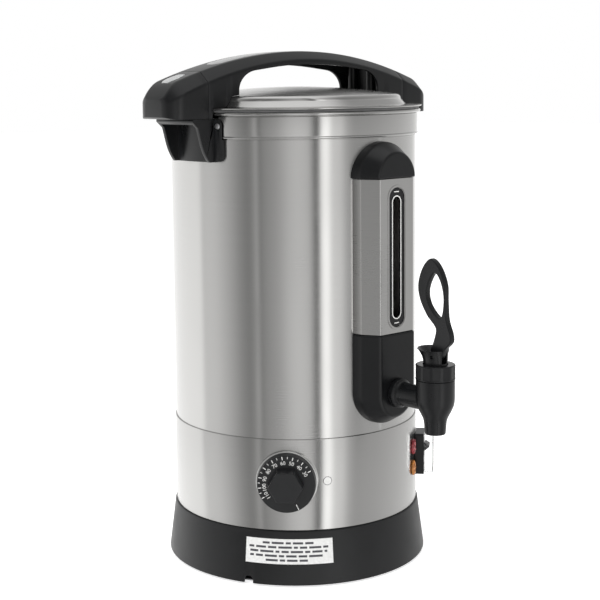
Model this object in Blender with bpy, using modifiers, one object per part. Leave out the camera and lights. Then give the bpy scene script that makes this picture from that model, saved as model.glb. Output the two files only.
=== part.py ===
"""Ten-litre brew kettle with a tap, as an assembly of separate pieces. Metres, +Z up.

The origin is the centre of the base on the surface that the kettle stands on. The tap points along
-Y, the carrying handles and the ends of the lid handle lie along X, and the cord inlet is at +Y.
"""

import math

import bmesh
import bpy
from mathutils import Matrix, Vector

# Driving dimensions, in metres and degrees.
GAP = 0.0003
TANK_RADIUS = 0.111
SHEET = 0.0008
FOOT_HEIGHT = 0.0022
BOTTOM_PLATE_Z = 0.0025
FOOT_RADIUS = 0.009
BASE_BOTTOM_RADIUS = 0.1193
BASE_TOP_RADIUS = 0.1132
BASE_BOTTOM_Z = 0.0015
BASE_TOP_Z = 0.0480
BASE_WALL = 0.0025
BASE_SHELF_RADIUS = 0.100
NOTCH_ANGLE = -62.8
NOTCH_HALF_WIDTH = 0.004
BOTTOM_PLATE_RADIUS = 0.1150
BOTTOM_PLATE_THICKNESS = 0.0010
VENT_COUNT = 6
FOOT_COUNT = 4
FOOT_RING_RADIUS = 0.100
CONTROL_RADIUS = 0.1120
CONTROL_TOP_Z = 0.1288
TANK_FLOOR_Z = 0.1215
TANK_MOUTH_Z = 0.4045
BAND_BOTTOM_Z = 0.3853
BAND_RADIUS = 0.1130
RIM_RADIUS = 0.1160
RIM_TOP_Z = 0.4075
BRIM_RADIUS = 0.1168
BRIM_BOTTOM_Z = 0.4098
BRIM_TOP_Z = 0.4112
LID_WALL_FOOT_RADIUS = 0.1030
LID_WALL_TOP_RADIUS = 0.0985
LID_EDGE_Z = 0.4209
LID_CROWN_Z = 0.4282
LID_SHEET = 0.0012
LID_FILLET = 0.004
ARCH_HALF_WIDTH = 0.026
ARCH_FLAT_HALF_WIDTH = 0.0145
ARCH_CROWN_Z = 0.4598
ARCH_CROWN_RADIUS = 0.40
ARCH_SHOULDER_Z = 0.4520
ARCH_SHOULDER_RADIUS = 0.36
ARCH_UNDERSIDE_Z = 0.4480
ARCH_LEG_X = 0.0846
ARCH_SPLIT_X = 0.1180
ARCH_END_X = 0.1570
ARCH_CORNER_RADIUS = 0.016
ARCH_BOTTOM_Z = 0.4025
ARCH_WALL = 0.0026
INLAY_HALF_LENGTH = 0.095
PAD_START_X = -0.1465
PAD_END_X = -0.1235
GRIP_TOP_Z = 0.4022
GRIP_BOTTOM_Z = 0.3657
GRIP_PLATE_HALF_WIDTH = 0.032
GRIP_HALF_WIDTH = 0.0255
HOUSING_FRONT = 0.1310
HOUSING_SHOULDER = 0.1165
HOUSING_HALF_WIDTH = 0.0300
HOUSING_FACE_HALF_WIDTH = 0.0201
HOUSING_COVER_BOTTOM_Z = 0.2182
HOUSING_COVER_TOP_Z = 0.3505
SLOT_HALF_WIDTH = 0.0092
SLOT_BOTTOM_Z = 0.2232
SLOT_TOP_Z = 0.3430
TAP_Z = 0.1660
TAP_AXIS_Y = -0.1750
TAP_BODY_RADIUS = 0.0164
SHANK_RADIUS = 0.0092
ARM_RADIUS = 0.0100
COLLAR_BOTTOM_Z = 0.1850
COLLAR_TOP_Z = 0.1978
LEVER_THICKNESS = 0.0054
LEVER_PIN_Y = -0.1795
LEVER_PIN_Z = 0.2050
DIAL_ANGLE = -46.0
DIAL_Z = 0.0930
SWITCH_ANGLE = 40.0
SWITCH_Z = 0.0917
LAMP_ANGLE = 29.5
LAMP_Z = (0.1013, 0.0815)
INLET_Z = 0.0860
SHAFT_RADIUS = 0.003
# Cutters through the round wall run between these distances from the axis.
CUT_START = 0.09
CUT_END = 0.13
ROUND_STEPS = 48
SMALL_STEPS = 24
MERGE = 0.00001

PARTS = None
CUTTERS = None
MATERIALS = {}


def clear_scene():
    for item in list(bpy.data.objects):
        bpy.data.objects.remove(item, do_unlink=True)


def make_collections():
    global PARTS, CUTTERS
    PARTS = bpy.data.collections.new("brew_kettle")
    CUTTERS = bpy.data.collections.new("cutters")
    for collection in (PARTS, CUTTERS):
        bpy.context.scene.collection.children.link(collection)


def material(name, colour, roughness, metallic=0.0):
    made = bpy.data.materials.new(name)
    made.use_nodes = True
    shader = made.node_tree.nodes["Principled BSDF"]
    shader.inputs["Base Color"].default_value = (*colour, 1.0)
    shader.inputs["Roughness"].default_value = roughness
    shader.inputs["Metallic"].default_value = metallic
    made.diffuse_color = (*colour, 1.0)
    MATERIALS[name] = made


def make_materials():
    material("brushed_steel", (0.62, 0.61, 0.59), 0.32, 1.0)
    material("polished_steel", (0.75, 0.74, 0.72), 0.15, 1.0)
    material("black_plastic", (0.03, 0.031, 0.033), 0.45)
    material("knob_plastic", (0.02, 0.02, 0.022), 0.35)
    material("silver_trim", (0.80, 0.80, 0.79), 0.25, 1.0)
    material("pad_grey", (0.45, 0.46, 0.47), 0.35)
    material("silicone", (0.12, 0.12, 0.12), 0.7)
    material("clear_glass", (0.85, 0.90, 0.92), 0.05)
    material("clear_cap", (0.80, 0.80, 0.80), 0.2)
    material("red_lens", (0.70, 0.05, 0.05), 0.25)
    material("amber_lens", (0.85, 0.40, 0.03), 0.25)
    material("aluminium", (0.70, 0.70, 0.70), 0.4, 1.0)
    material("zinc_steel", (0.50, 0.50, 0.52), 0.45, 1.0)
    material("rubber", (0.02, 0.02, 0.02), 0.8)


def add_object(name, mesh, slot, matrix=None):
    made = bpy.data.objects.new(name, mesh)
    if slot is None:
        CUTTERS.objects.link(made)
        made.hide_render = True
        made.display_type = "WIRE"
    else:
        PARTS.objects.link(made)
        mesh.materials.append(MATERIALS[slot])
    if matrix is not None:
        made.matrix_world = matrix
    return made


def mesh_from(builder, name):
    mesh = bpy.data.meshes.new(name)
    shape = bmesh.new()
    builder(shape)
    bmesh.ops.recalc_face_normals(shape, faces=shape.faces)
    shape.to_mesh(mesh)
    shape.free()
    return mesh


def smooth(thing, angle=30.0):
    thing.data.shade_smooth()
    thing.data.set_sharp_from_angle(angle=math.radians(angle))
    return thing


def bevel(thing, width, segments=2, angle=30.0):
    made = thing.modifiers.new("Bevel", "BEVEL")
    made.width = width
    made.segments = segments
    made.limit_method = "ANGLE"
    made.angle_limit = math.radians(angle)
    made.use_clamp_overlap = True
    return thing


def boolean(thing, other, operation="DIFFERENCE"):
    made = thing.modifiers.new(operation.title(), "BOOLEAN")
    made.operation = operation
    made.solver = "EXACT"
    made.object = other
    return thing


def turned(name, profile, slot, steps=ROUND_STEPS, matrix=None):
    """Profile points (radius, height) turned about Z; the outer side runs from top to bottom."""
    mesh = bpy.data.meshes.new(name)
    shape = bmesh.new()
    points = [shape.verts.new((radius, 0.0, height)) for radius, height in profile]
    for first, second in zip(points, points[1:]):
        shape.edges.new((first, second))
    if min(profile[0][0], profile[-1][0]) > MERGE:
        shape.edges.new((points[-1], points[0]))
    shape.to_mesh(mesh)
    shape.free()
    made = add_object(name, mesh, slot, matrix)
    screw = made.modifiers.new("Screw", "SCREW")
    screw.axis = "Z"
    screw.steps = steps
    screw.render_steps = steps
    screw.use_merge_vertices = True
    screw.merge_threshold = MERGE
    screw.use_smooth_shade = True
    return made


def box(name, low, high, slot, matrix=None):
    low = Vector(low)
    high = Vector(high)

    def build(shape):
        bmesh.ops.create_cube(shape, size=1.0)
        bmesh.ops.scale(shape, verts=shape.verts, vec=high - low)
        bmesh.ops.translate(shape, verts=shape.verts, vec=(low + high) / 2)

    return add_object(name, mesh_from(build, name), slot, matrix)


def cylinder(name, radius, bottom, top, slot, matrix=None, steps=SMALL_STEPS, top_radius=None):
    def build(shape):
        bmesh.ops.create_cone(
            shape,
            cap_ends=True,
            segments=steps,
            radius1=radius,
            radius2=radius if top_radius is None else top_radius,
            depth=top - bottom,
        )
        bmesh.ops.translate(shape, verts=shape.verts, vec=(0.0, 0.0, (bottom + top) / 2))

    return smooth(add_object(name, mesh_from(build, name), slot, matrix))


def prism(name, outline, low, high, slot, matrix=None):
    """A flat outline of (x, y) points, raised from low to high along Z."""

    def build(shape):
        face = shape.faces.new([shape.verts.new((x, y, low)) for x, y in outline])
        raised = bmesh.ops.extrude_face_region(shape, geom=[face])
        moved = [item for item in raised["geom"] if isinstance(item, bmesh.types.BMVert)]
        bmesh.ops.translate(shape, verts=moved, vec=(0.0, 0.0, high - low))

    return add_object(name, mesh_from(build, name), slot, matrix)


def loft(name, sections, slot):
    """Closed sections with the same number of points, joined in order and capped at both ends."""

    def build(shape):
        rings = [[shape.verts.new(point) for point in section] for section in sections]
        count = len(rings[0])
        for first, second in zip(rings, rings[1:]):
            for i in range(count):
                j = (i + 1) % count
                shape.faces.new((first[i], first[j], second[j], second[i]))
        shape.faces.new(rings[0][::-1])
        shape.faces.new(rings[-1])

    return add_object(name, mesh_from(build, name), slot)


def plate_with_hole(name, outer, inner, thickness, slot, round_over):
    """A flat plate in the YZ plane with one hole, from two smooth outlines of (y, z) points."""
    curve = bpy.data.curves.new(name, "CURVE")
    curve.dimensions = "2D"
    curve.fill_mode = "BOTH"
    curve.resolution_u = 3
    curve.extrude = thickness / 2 - round_over
    curve.bevel_depth = round_over
    curve.bevel_resolution = 0
    curve.offset = -round_over
    for outline in (outer, inner):
        spline = curve.splines.new("BEZIER")
        spline.bezier_points.add(len(outline) - 1)
        for point, (y, z) in zip(spline.bezier_points, outline):
            point.co = (y, z, 0.0)
            point.handle_left_type = "AUTO"
            point.handle_right_type = "AUTO"
        spline.use_cyclic_u = True
    guide = bpy.data.objects.new(name + "_guide", curve)
    CUTTERS.objects.link(guide)
    bpy.context.view_layer.update()
    graph = bpy.context.evaluated_depsgraph_get()
    mesh = bpy.data.meshes.new_from_object(guide.evaluated_get(graph))
    bpy.data.objects.remove(guide, do_unlink=True)
    shape = bmesh.new()
    shape.from_mesh(mesh)
    bmesh.ops.remove_doubles(shape, verts=shape.verts, dist=MERGE)
    bmesh.ops.transform(shape, matrix=YZ_PLANE, verts=shape.verts)
    bmesh.ops.recalc_face_normals(shape, faces=shape.faces)
    shape.to_mesh(mesh)
    shape.free()
    mesh.name = name
    return smooth(add_object(name, mesh, slot), 40.0)


# A drawing plane's first two axes become world Y and Z.
YZ_PLANE = Matrix(((0, 0, 1, 0), (1, 0, 0, 0), (0, 1, 0, 0), (0, 0, 0, 1)))
# Turned pieces on this frame have their axis along -Y.
FORWARD = Matrix(((1, 0, 0, 0), (0, 0, -1, 0), (0, 1, 0, 0), (0, 0, 0, 1)))


def forward_at(height):
    """A frame whose local Z points along -Y, at the given height on the kettle's centre plane."""
    return Matrix.Translation((0.0, 0.0, height)) @ FORWARD


def radial_frame(angle, height):
    """A frame on the kettle's axis with local Z pointing out at the angle from the tap towards +X.

    Local X is horizontal, along the wall, and local Y points up.
    """
    turn = math.radians(angle)
    outward = Vector((math.sin(turn), -math.cos(turn), 0.0))
    along = Vector((math.cos(turn), math.sin(turn), 0.0))
    up = Vector((0.0, 0.0, 1.0))
    frame = Matrix.Identity(4)
    for column, axis in enumerate((along, up, outward)):
        frame.col[column][:3] = axis
    frame.col[3][:3] = (0.0, 0.0, height)
    return frame


def arc(centre, radius, start, end, steps, radius_2=None):
    """Points on a circle, or on an ellipse with radius_2 as its second half axis."""
    second = radius if radius_2 is None else radius_2
    turns = [math.radians(start + (end - start) * i / steps) for i in range(steps + 1)]
    return [(centre[0] + radius * math.cos(t), centre[1] + second * math.sin(t)) for t in turns]


def stadium(half_width, bottom, top, steps=8):
    """An upright slot outline with round ends."""
    upper = arc((0.0, top - half_width), half_width, 0.0, 180.0, steps)
    lower = arc((0.0, bottom + half_width), half_width, 180.0, 360.0, steps)
    return upper + lower


def rounded_rectangle(half_x, half_y, corner, steps=4):
    points = []
    for sign_x, sign_y, start in ((1, 1, 0), (-1, 1, 90), (-1, -1, 180), (1, -1, 270)):
        centre = (sign_x * (half_x - corner), sign_y * (half_y - corner))
        points += arc(centre, corner, start, start + 90, steps)
    return points


def wall_trim(name, radius, low, high):
    """A solid a little wider than the round wall, which trims what is mounted on it."""
    return cylinder(name, radius, low, high, None, steps=ROUND_STEPS)


# Base ---------------------------------------------------------------------------------------


def make_base_shell():
    shell = turned(
        "base_shell",
        [
            (BASE_SHELF_RADIUS, BASE_TOP_Z),
            (BASE_TOP_RADIUS - 0.001, BASE_TOP_Z),
            (BASE_TOP_RADIUS, BASE_TOP_Z - 0.001),
            (BASE_BOTTOM_RADIUS - 0.0006, 0.006),
            (BASE_BOTTOM_RADIUS, BASE_BOTTOM_Z + 0.001),
            (BASE_BOTTOM_RADIUS - 0.001, BASE_BOTTOM_Z),
            (BASE_BOTTOM_RADIUS - BASE_WALL, BASE_BOTTOM_Z),
            (BASE_TOP_RADIUS - BASE_WALL, BASE_TOP_Z - BASE_WALL),
            (BASE_SHELF_RADIUS, BASE_TOP_Z - BASE_WALL),
        ],
        "black_plastic",
        steps=ROUND_STEPS,
    )
    below_base = -0.01
    notch = prism(
        "base_notch_cutter",
        [(NOTCH_HALF_WIDTH, below_base)]
        + arc((0.0, NOTCH_HALF_WIDTH), NOTCH_HALF_WIDTH, 0.0, 180.0, 8)
        + [(-NOTCH_HALF_WIDTH, below_base)],
        0.110,
        0.125,
        None,
        radial_frame(NOTCH_ANGLE, 0.0),
    )
    boolean(shell, notch)


def make_bottom_plate():
    """A sheet disc with radial vents, which closes the base from below."""
    plate = cylinder(
        "bottom_plate",
        BOTTOM_PLATE_RADIUS,
        BOTTOM_PLATE_Z,
        BOTTOM_PLATE_Z + BOTTOM_PLATE_THICKNESS,
        "zinc_steel",
        steps=ROUND_STEPS,
    )
    vent_start, vent_end, vent_half_width = 0.040, 0.070, 0.002
    for i in range(VENT_COUNT):
        vent = box(
            f"vent_cutter_{i}",
            (vent_start, -vent_half_width, 0.0),
            (vent_end, vent_half_width, 0.012),
            None,
            Matrix.Rotation(2 * math.pi * i / VENT_COUNT, 4, "Z"),
        )
        boolean(plate, vent)


def make_feet():
    for i in range(FOOT_COUNT):
        turn = 2 * math.pi * (i + 0.5) / FOOT_COUNT
        centre = (FOOT_RING_RADIUS * math.cos(turn), FOOT_RING_RADIUS * math.sin(turn), 0.0)
        place = Matrix.Translation(centre)
        turned(
            f"rubber_foot_{i + 1}",
            [
                (0.0, FOOT_HEIGHT),
                (FOOT_RADIUS, FOOT_HEIGHT),
                (FOOT_RADIUS, 0.0008),
                (FOOT_RADIUS - 0.0008, 0.0),
                (0.0, 0.0),
            ],
            "rubber",
            steps=24,
            matrix=place,
        )


def make_control_shell():
    bottom = BASE_TOP_Z + GAP
    top = CONTROL_TOP_Z - GAP
    shell = turned(
        "control_shell",
        [
            (CONTROL_RADIUS - SHEET, top),
            (CONTROL_RADIUS, top),
            (CONTROL_RADIUS, bottom),
            (CONTROL_RADIUS - 0.006, bottom),
            (CONTROL_RADIUS - 0.006, bottom + SHEET),
            (CONTROL_RADIUS - SHEET, bottom + SHEET),
        ],
        "brushed_steel",
        steps=ROUND_STEPS,
    )
    holes = (
        cylinder("shaft_hole_cutter", 0.005, CUT_START, CUT_END, None, radial_frame(DIAL_ANGLE, DIAL_Z)),
        prism(
            "switch_hole_cutter",
            rounded_rectangle(0.0086, 0.0146, 0.001),
            CUT_START,
            CUT_END,
            None,
            radial_frame(SWITCH_ANGLE, SWITCH_Z),
        ),
        prism(
            "inlet_hole_cutter",
            rounded_rectangle(0.0140, 0.0110, 0.001),
            CUT_START,
            CUT_END,
            None,
            radial_frame(180.0, INLET_Z),
        ),
    )
    for hole in holes:
        boolean(shell, hole)
    for i, height in enumerate(LAMP_Z):
        frame = radial_frame(LAMP_ANGLE, height)
        outline = stadium(0.0034, -0.0058, 0.0058)
        hole = prism(f"lamp_hole_cutter_{i}", outline, CUT_START, CUT_END, None, frame)
        boolean(shell, hole)


# Tank and heater ----------------------------------------------------------------------------


def make_tank():
    corner = 0.006
    roll = 0.0014
    inner = TANK_RADIUS - SHEET
    floor = TANK_FLOOR_Z
    centre = (TANK_RADIUS - corner, floor + corner)
    tank = turned(
        "tank",
        [(0.0, floor + SHEET)]
        + arc(centre, corner - SHEET, -90.0, 0.0, 3)
        + [(inner, RIM_TOP_Z)]
        + arc((RIM_RADIUS - roll, RIM_TOP_Z - roll), roll, 90.0, -90.0, 4)
        + [(TANK_RADIUS, RIM_TOP_Z - 2 * roll)]
        + arc(centre, corner, 0.0, -90.0, 3)
        + [(0.0, floor)],
        "brushed_steel",
    )
    hole_radius = SHANK_RADIUS + 0.0004
    tap_hole = cylinder("tank_hole_cutter", hole_radius, CUT_START, CUT_END, None, forward_at(TAP_Z))
    boolean(tank, tap_hole)
    turned(
        "rim_band",
        [
            (TANK_RADIUS + GAP, TANK_MOUTH_Z - GAP),
            (BAND_RADIUS, TANK_MOUTH_Z - GAP),
            (BAND_RADIUS, BAND_BOTTOM_Z + 0.0012),
            (BAND_RADIUS + 0.0006, BAND_BOTTOM_Z + 0.0006),
            (BAND_RADIUS, BAND_BOTTOM_Z),
            (TANK_RADIUS + GAP, BAND_BOTTOM_Z),
        ],
        "brushed_steel",
    )


def make_heater():
    heater_top = TANK_FLOOR_Z - GAP
    plate_thickness = 0.004
    spreader_radius = 0.080
    spreader_bottom = heater_top - plate_thickness
    cylinder("heat_spreader", spreader_radius, spreader_bottom, heater_top, "aluminium", steps=ROUND_STEPS)
    ring_radius = 0.062
    tube_radius = 0.004
    tube_z = heater_top - plate_thickness - tube_radius - GAP
    ring_start = -75.0
    ring_sweep = 330.0
    ring = arc((0.0, 0.0), ring_radius, ring_start, ring_start + ring_sweep, 30)
    curve = bpy.data.curves.new("heating_element", "CURVE")
    curve.dimensions = "3D"
    curve.bevel_depth = tube_radius
    curve.bevel_resolution = 2
    curve.use_fill_caps = True
    spline = curve.splines.new("POLY")
    spline.points.add(len(ring) - 1)
    for point, (x, y) in zip(spline.points, ring):
        point.co = (x, y, tube_z, 1.0)
    add_object("heating_element", curve, "zinc_steel")
    cutout_radius = 0.010
    cutout_depth = 0.016
    cutout_bottom = heater_top - cutout_depth
    cylinder("boil_dry_cutout", cutout_radius, cutout_bottom, spreader_bottom - GAP, "zinc_steel")


# Lid ----------------------------------------------------------------------------------------


def lid_surface(radius):
    """Height of the lid's shallow dome at a distance from the axis."""
    edge_radius = LID_WALL_TOP_RADIUS - LID_FILLET
    return LID_CROWN_Z - (LID_CROWN_Z - LID_EDGE_Z) * (radius / edge_radius) ** 2


def lid_dome(offset):
    return [(radius, lid_surface(radius) + offset) for radius in (0.078, 0.060, 0.040, 0.020, 0.0)]


def lid_profile(offset=0.0):
    """The lid's upper surface from the brim's edge to the crown, raised by the offset."""
    centre = (LID_WALL_TOP_RADIUS - LID_FILLET, LID_EDGE_Z - LID_FILLET)
    fillet = arc(centre, LID_FILLET + offset, 0.0, 80.0, 4)
    return [
        (BRIM_RADIUS + offset, BRIM_TOP_Z + offset),
        (LID_WALL_FOOT_RADIUS + offset, BRIM_TOP_Z + offset + 0.0004),
        *fillet,
        *lid_dome(offset),
    ]


def make_lid():
    seal_inner = 0.1040
    turned(
        "lid_seal",
        [
            (seal_inner, BRIM_BOTTOM_Z - GAP),
            (RIM_RADIUS - 0.0012, BRIM_BOTTOM_Z - GAP),
            (RIM_RADIUS - 0.0012, RIM_TOP_Z + GAP),
            (TANK_RADIUS - SHEET - 0.0006, RIM_TOP_Z + GAP),
            (TANK_RADIUS - SHEET - 0.0006, RIM_TOP_Z - 0.0045),
            (seal_inner, RIM_TOP_Z - 0.0045),
        ],
        "silicone",
    )
    upper = lid_profile()[::-1]
    lid = turned(
        "lid_pan",
        upper
        + [
            (BRIM_RADIUS, BRIM_BOTTOM_Z),
            (LID_WALL_FOOT_RADIUS - LID_SHEET, BRIM_BOTTOM_Z),
            (LID_WALL_TOP_RADIUS - LID_SHEET, LID_EDGE_Z - LID_FILLET),
            (LID_WALL_TOP_RADIUS - LID_FILLET - 0.0006, LID_EDGE_Z - LID_SHEET),
            *lid_dome(-LID_SHEET),
        ],
        "polished_steel",
    )
    for number, (x, y) in enumerate(handle_screw_places()):
        place = Matrix.Translation((x, y, 0.0))
        boolean(lid, cylinder(f"lid_hole_cutter_{number}", 0.0021, 0.40, 0.45, None, place, 12))
        head_top = lid_surface(math.hypot(x, y)) - LID_SHEET - 0.0009
        turned(
            f"handle_screw_{number + 1}",
            [
                (0.0, head_top + 0.012),
                (0.0016, head_top + 0.012),
                (0.0016, head_top),
                (0.0035, head_top),
                (0.0035, head_top - 0.0018),
                (0.0, head_top - 0.0022),
            ],
            "zinc_steel",
            steps=12,
            matrix=place,
        )


def handle_screw_places():
    return [(x, y) for x in (-0.0885, 0.0885) for y in (-0.012, 0.012)]


def arch_top(x):
    return ARCH_CROWN_Z - x * x / (2 * ARCH_CROWN_RADIUS)


def arch_shoulder(x):
    return ARCH_SHOULDER_Z - x * x / (2 * ARCH_SHOULDER_RADIUS)


def arch_half_width(x):
    """Constant along the arch, then rounded in plan at its ends."""
    past = abs(x) - (ARCH_END_X - ARCH_CORNER_RADIUS)
    if past <= 0.0:
        return ARCH_HALF_WIDTH
    return ARCH_HALF_WIDTH - ARCH_CORNER_RADIUS + math.sqrt(max(ARCH_CORNER_RADIUS**2 - past**2, 0.0))


def arch_section(x, bottom, inset=0.0, roof=0.0):
    """Six corners across the arch at x; the inset and the roof shrink it for the hollow inside."""
    half = arch_half_width(x) - inset
    flat = min(ARCH_FLAT_HALF_WIDTH, half - 0.002) - inset * 0.3
    end_drop = max(abs(x) - (ARCH_END_X - 0.008), 0.0) * 0.9
    shoulder = arch_shoulder(x) - roof - end_drop * 0.3
    top = arch_top(x) - roof - end_drop
    return [
        (x, -half, bottom),
        (x, -half, shoulder),
        (x, -flat, top),
        (x, flat, top),
        (x, half, shoulder),
        (x, half, bottom),
    ]


def spread(start, end, steps):
    return [start + (end - start) * i / steps for i in range(steps + 1)]


def arch_window():
    """The opening for the hand, seen from the side: two legs, two corners and a shallow arch."""
    corner_x, corner_z = 0.022, 0.0175
    below = 0.38
    inner_x = ARCH_LEG_X - corner_x
    inner_z = ARCH_UNDERSIDE_Z - inner_x**2 / (2 * ARCH_CROWN_RADIUS)
    right = arc((inner_x, inner_z - corner_z), corner_x, 0.0, 80.0, 6, corner_z)
    stations = spread(inner_x * 0.8, -inner_x * 0.8, 6)
    crown = [(x, ARCH_UNDERSIDE_Z - x * x / (2 * ARCH_CROWN_RADIUS)) for x in stations]
    left = [(-x, z) for x, z in right[::-1]]
    return [(ARCH_LEG_X, below)] + right + crown + left + [(-ARCH_LEG_X, below)]


def crown_strip(name, start, end, half_width, low, high, slot):
    """A strip that follows the arch's crown line, between two heights over it."""
    sections = []
    for x in spread(start, end, 12):
        half = half_width(x)
        top = arch_top(x)
        section = [(-half, low), (-half, high), (half, high), (half, low)]
        sections.append([(x, y, top + height) for y, height in section])
    return loft(name, sections, slot)


def inlay_half_width(grow):
    """Half the silver strip's width: 10 mm, with rounded ends."""

    def width(x):
        past = max(abs(x) - (INLAY_HALF_LENGTH - 0.008), 0.0)
        return 0.0100 + grow - 0.0045 * (past / 0.008) ** 2

    return width


def pad_half_width(grow):
    """Half the oval pad's width."""
    middle = (PAD_START_X + PAD_END_X) / 2
    length = abs(PAD_END_X - PAD_START_X) / 2

    def width(x):
        along = (x - middle) / (length + 0.001)
        return 0.0030 + grow + 0.0060 * math.sqrt(max(1.0 - along * along, 0.0))

    return width


def arch_stations():
    """Where the arch's sections stand, for each of its three pieces."""
    turns = [math.radians(angle) for angle in (0, 25, 45, 62, 76, 88)]
    turn_in = [ARCH_END_X - ARCH_CORNER_RADIUS * (1 - math.sin(turn)) for turn in turns]
    right = [ARCH_SPLIT_X + GAP, 0.130] + turn_in
    return {
        "lid_handle_arch": spread(-ARCH_SPLIT_X, ARCH_SPLIT_X, 20),
        "lid_handle_end_left": [-x for x in right[::-1]],
        "lid_handle_end_right": right,
    }


def hollow_out(body, span, number):
    sections = [arch_section(x, ARCH_BOTTOM_Z - 0.02, ARCH_WALL, ARCH_WALL) for x in span]
    boolean(body, loft(f"{body.name}_hollow_cutter_{number}", sections, None))


def make_lid_handle():
    """The hollow lid handle: a centre channel, and two end blocks that hang outside the brim."""
    rib_inner, rib_outer = 0.0920, 0.0955
    stations = arch_stations()
    seat = turned(
        "lid_seat_cutter",
        lid_profile(GAP)[::-1] + [(BRIM_RADIUS + GAP, 0.39), (0.0, 0.39)],
        None,
    )
    window = prism("arch_window_cutter", arch_window(), -0.04, 0.04, None)
    window.matrix_world = Matrix.Rotation(math.radians(90), 4, "X")
    inlay_recess = crown_strip(
        "inlay_recess_cutter",
        -INLAY_HALF_LENGTH - GAP,
        INLAY_HALF_LENGTH + GAP,
        inlay_half_width(GAP),
        -0.0013,
        0.005,
        None,
    )
    pad_recess = crown_strip(
        "pad_recess_cutter", PAD_START_X - GAP, PAD_END_X + GAP, pad_half_width(GAP), -0.0013, 0.005, None
    )

    arch = loft(
        "lid_handle_arch",
        [arch_section(x, ARCH_BOTTOM_Z) for x in stations["lid_handle_arch"]],
        "black_plastic",
    )
    hollow_out(arch, spread(-rib_inner, rib_inner, 16), 0)
    hollow_out(arch, spread(rib_outer, ARCH_SPLIT_X - ARCH_WALL, 2), 1)
    hollow_out(arch, spread(ARCH_WALL - ARCH_SPLIT_X, -rib_outer, 2), 2)
    for number, (x, y) in enumerate(handle_screw_places()):
        place = Matrix.Translation((x, y, 0.0))
        boss = cylinder(f"boss_{number}", 0.0042, 0.412, arch_top(x) - 0.0015, None, place, 16)
        boolean(arch, boss, "UNION")
    boolean(arch, window)
    boolean(arch, seat)
    for number, (x, y) in enumerate(handle_screw_places()):
        place = Matrix.Translation((x, y, 0.0))
        boolean(arch, cylinder(f"pilot_cutter_{number}", 0.0020, 0.40, 0.4330, None, place, 12))
    boolean(arch, inlay_recess)
    smooth(arch)

    for side, name in ((-1.0, "lid_handle_end_left"), (1.0, "lid_handle_end_right")):
        block = loft(name, [arch_section(x, ARCH_BOTTOM_Z) for x in stations[name]], "black_plastic")
        span = sorted([side * (ARCH_SPLIT_X + ARCH_WALL + GAP), side * (ARCH_END_X - 0.0165)])
        hollow_out(block, spread(span[0], span[1], 2), 0)
        boolean(block, seat)
        if side < 0:
            boolean(block, pad_recess)
        smooth(block)
    crown_strip(
        "handle_inlay",
        -INLAY_HALF_LENGTH,
        INLAY_HALF_LENGTH,
        inlay_half_width(0.0),
        -0.0010,
        0.0002,
        "silver_trim",
    )
    crown_strip("handle_pad", PAD_START_X, PAD_END_X, pad_half_width(0.0), -0.0010, 0.0003, "pad_grey")


# Carrying handles ---------------------------------------------------------------------------


def gusset_outline():
    """The side of a carrying handle, out from the wall: a shelf above a hollow curve."""
    return [
        (0.1354, GRIP_TOP_Z),
        (0.1354, 0.4000),
        (0.1297, 0.3950),
        (0.1280, 0.3890),
        (0.1262, 0.3835),
        (0.1238, 0.3780),
        (0.1205, 0.3730),
        (0.1176, GRIP_BOTTOM_Z),
        (0.1100, GRIP_BOTTOM_Z),
        (0.1100, GRIP_TOP_Z),
    ]


def make_carrying_handles():
    """Each is a curved plate on the wall, two side walls, and a shelf that the fingers lift under."""
    upright = Matrix.Rotation(math.radians(90), 4, "X")
    wall = 0.0035
    plate_radius = 0.1162
    middle_z = (GRIP_TOP_Z + GRIP_BOTTOM_Z) / 2
    half_height = (GRIP_TOP_Z - GRIP_BOTTOM_Z) / 2
    tank_trim = wall_trim("grip_tank_cutter", TANK_RADIUS + GAP, 0.35, BAND_BOTTOM_Z - GAP)
    band_trim = wall_trim("grip_band_cutter", BAND_RADIUS + 0.0006 + GAP, BAND_BOTTOM_Z - 2 * GAP, 0.42)
    plate_limit = wall_trim("grip_plate_limit", plate_radius, 0.35, 0.42)
    number = 0
    for side, name in ((-1.0, "carrying_handle_left"), (1.0, "carrying_handle_right")):
        turn = Matrix.Identity(4) if side > 0 else Matrix.Rotation(math.pi, 4, "Z")
        sides = (-GRIP_HALF_WIDTH, GRIP_HALF_WIDTH)
        body = prism(name, gusset_outline(), *sides, "black_plastic", turn @ upright)
        scoop = box(
            name + "_scoop_cutter",
            (plate_radius - 0.001, wall - GRIP_HALF_WIDTH, GRIP_BOTTOM_Z - 0.01),
            (0.16, GRIP_HALF_WIDTH - wall, GRIP_TOP_Z - 0.0045),
            None,
            turn,
        )
        plate = prism(
            name + "_plate",
            rounded_rectangle(GRIP_PLATE_HALF_WIDTH, half_height, 0.005),
            0.100,
            0.125,
            None,
            radial_frame(90.0 * side, middle_z),
        )
        boolean(plate, plate_limit, "INTERSECT")
        boolean(body, scoop)
        boolean(body, plate, "UNION")
        boolean(body, tank_trim)
        boolean(body, band_trim)
        for offset in (-14.8, 14.8):
            number += 1
            frame = radial_frame(90.0 * side + offset, GRIP_TOP_Z - 0.0062)
            hole = cylinder(f"grip_screw_cutter_{number}", 0.0016, CUT_START, CUT_END, None, frame, 12)
            for pierced in (body, bpy.data.objects["tank"], bpy.data.objects["rim_band"]):
                boolean(pierced, hole)
            turned(
                f"carrying_handle_screw_{number}",
                [
                    (0.0, plate_radius + 0.0015),
                    (0.0020, plate_radius + 0.0013),
                    (0.0026, plate_radius + GAP),
                    (0.0013, plate_radius + GAP),
                    (0.0013, TANK_RADIUS - 0.004),
                    (0.0, TANK_RADIUS - 0.004),
                ],
                "zinc_steel",
                steps=12,
                matrix=frame,
            )
        smooth(body)


# Level gauge housing ------------------------------------------------------------------------


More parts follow.
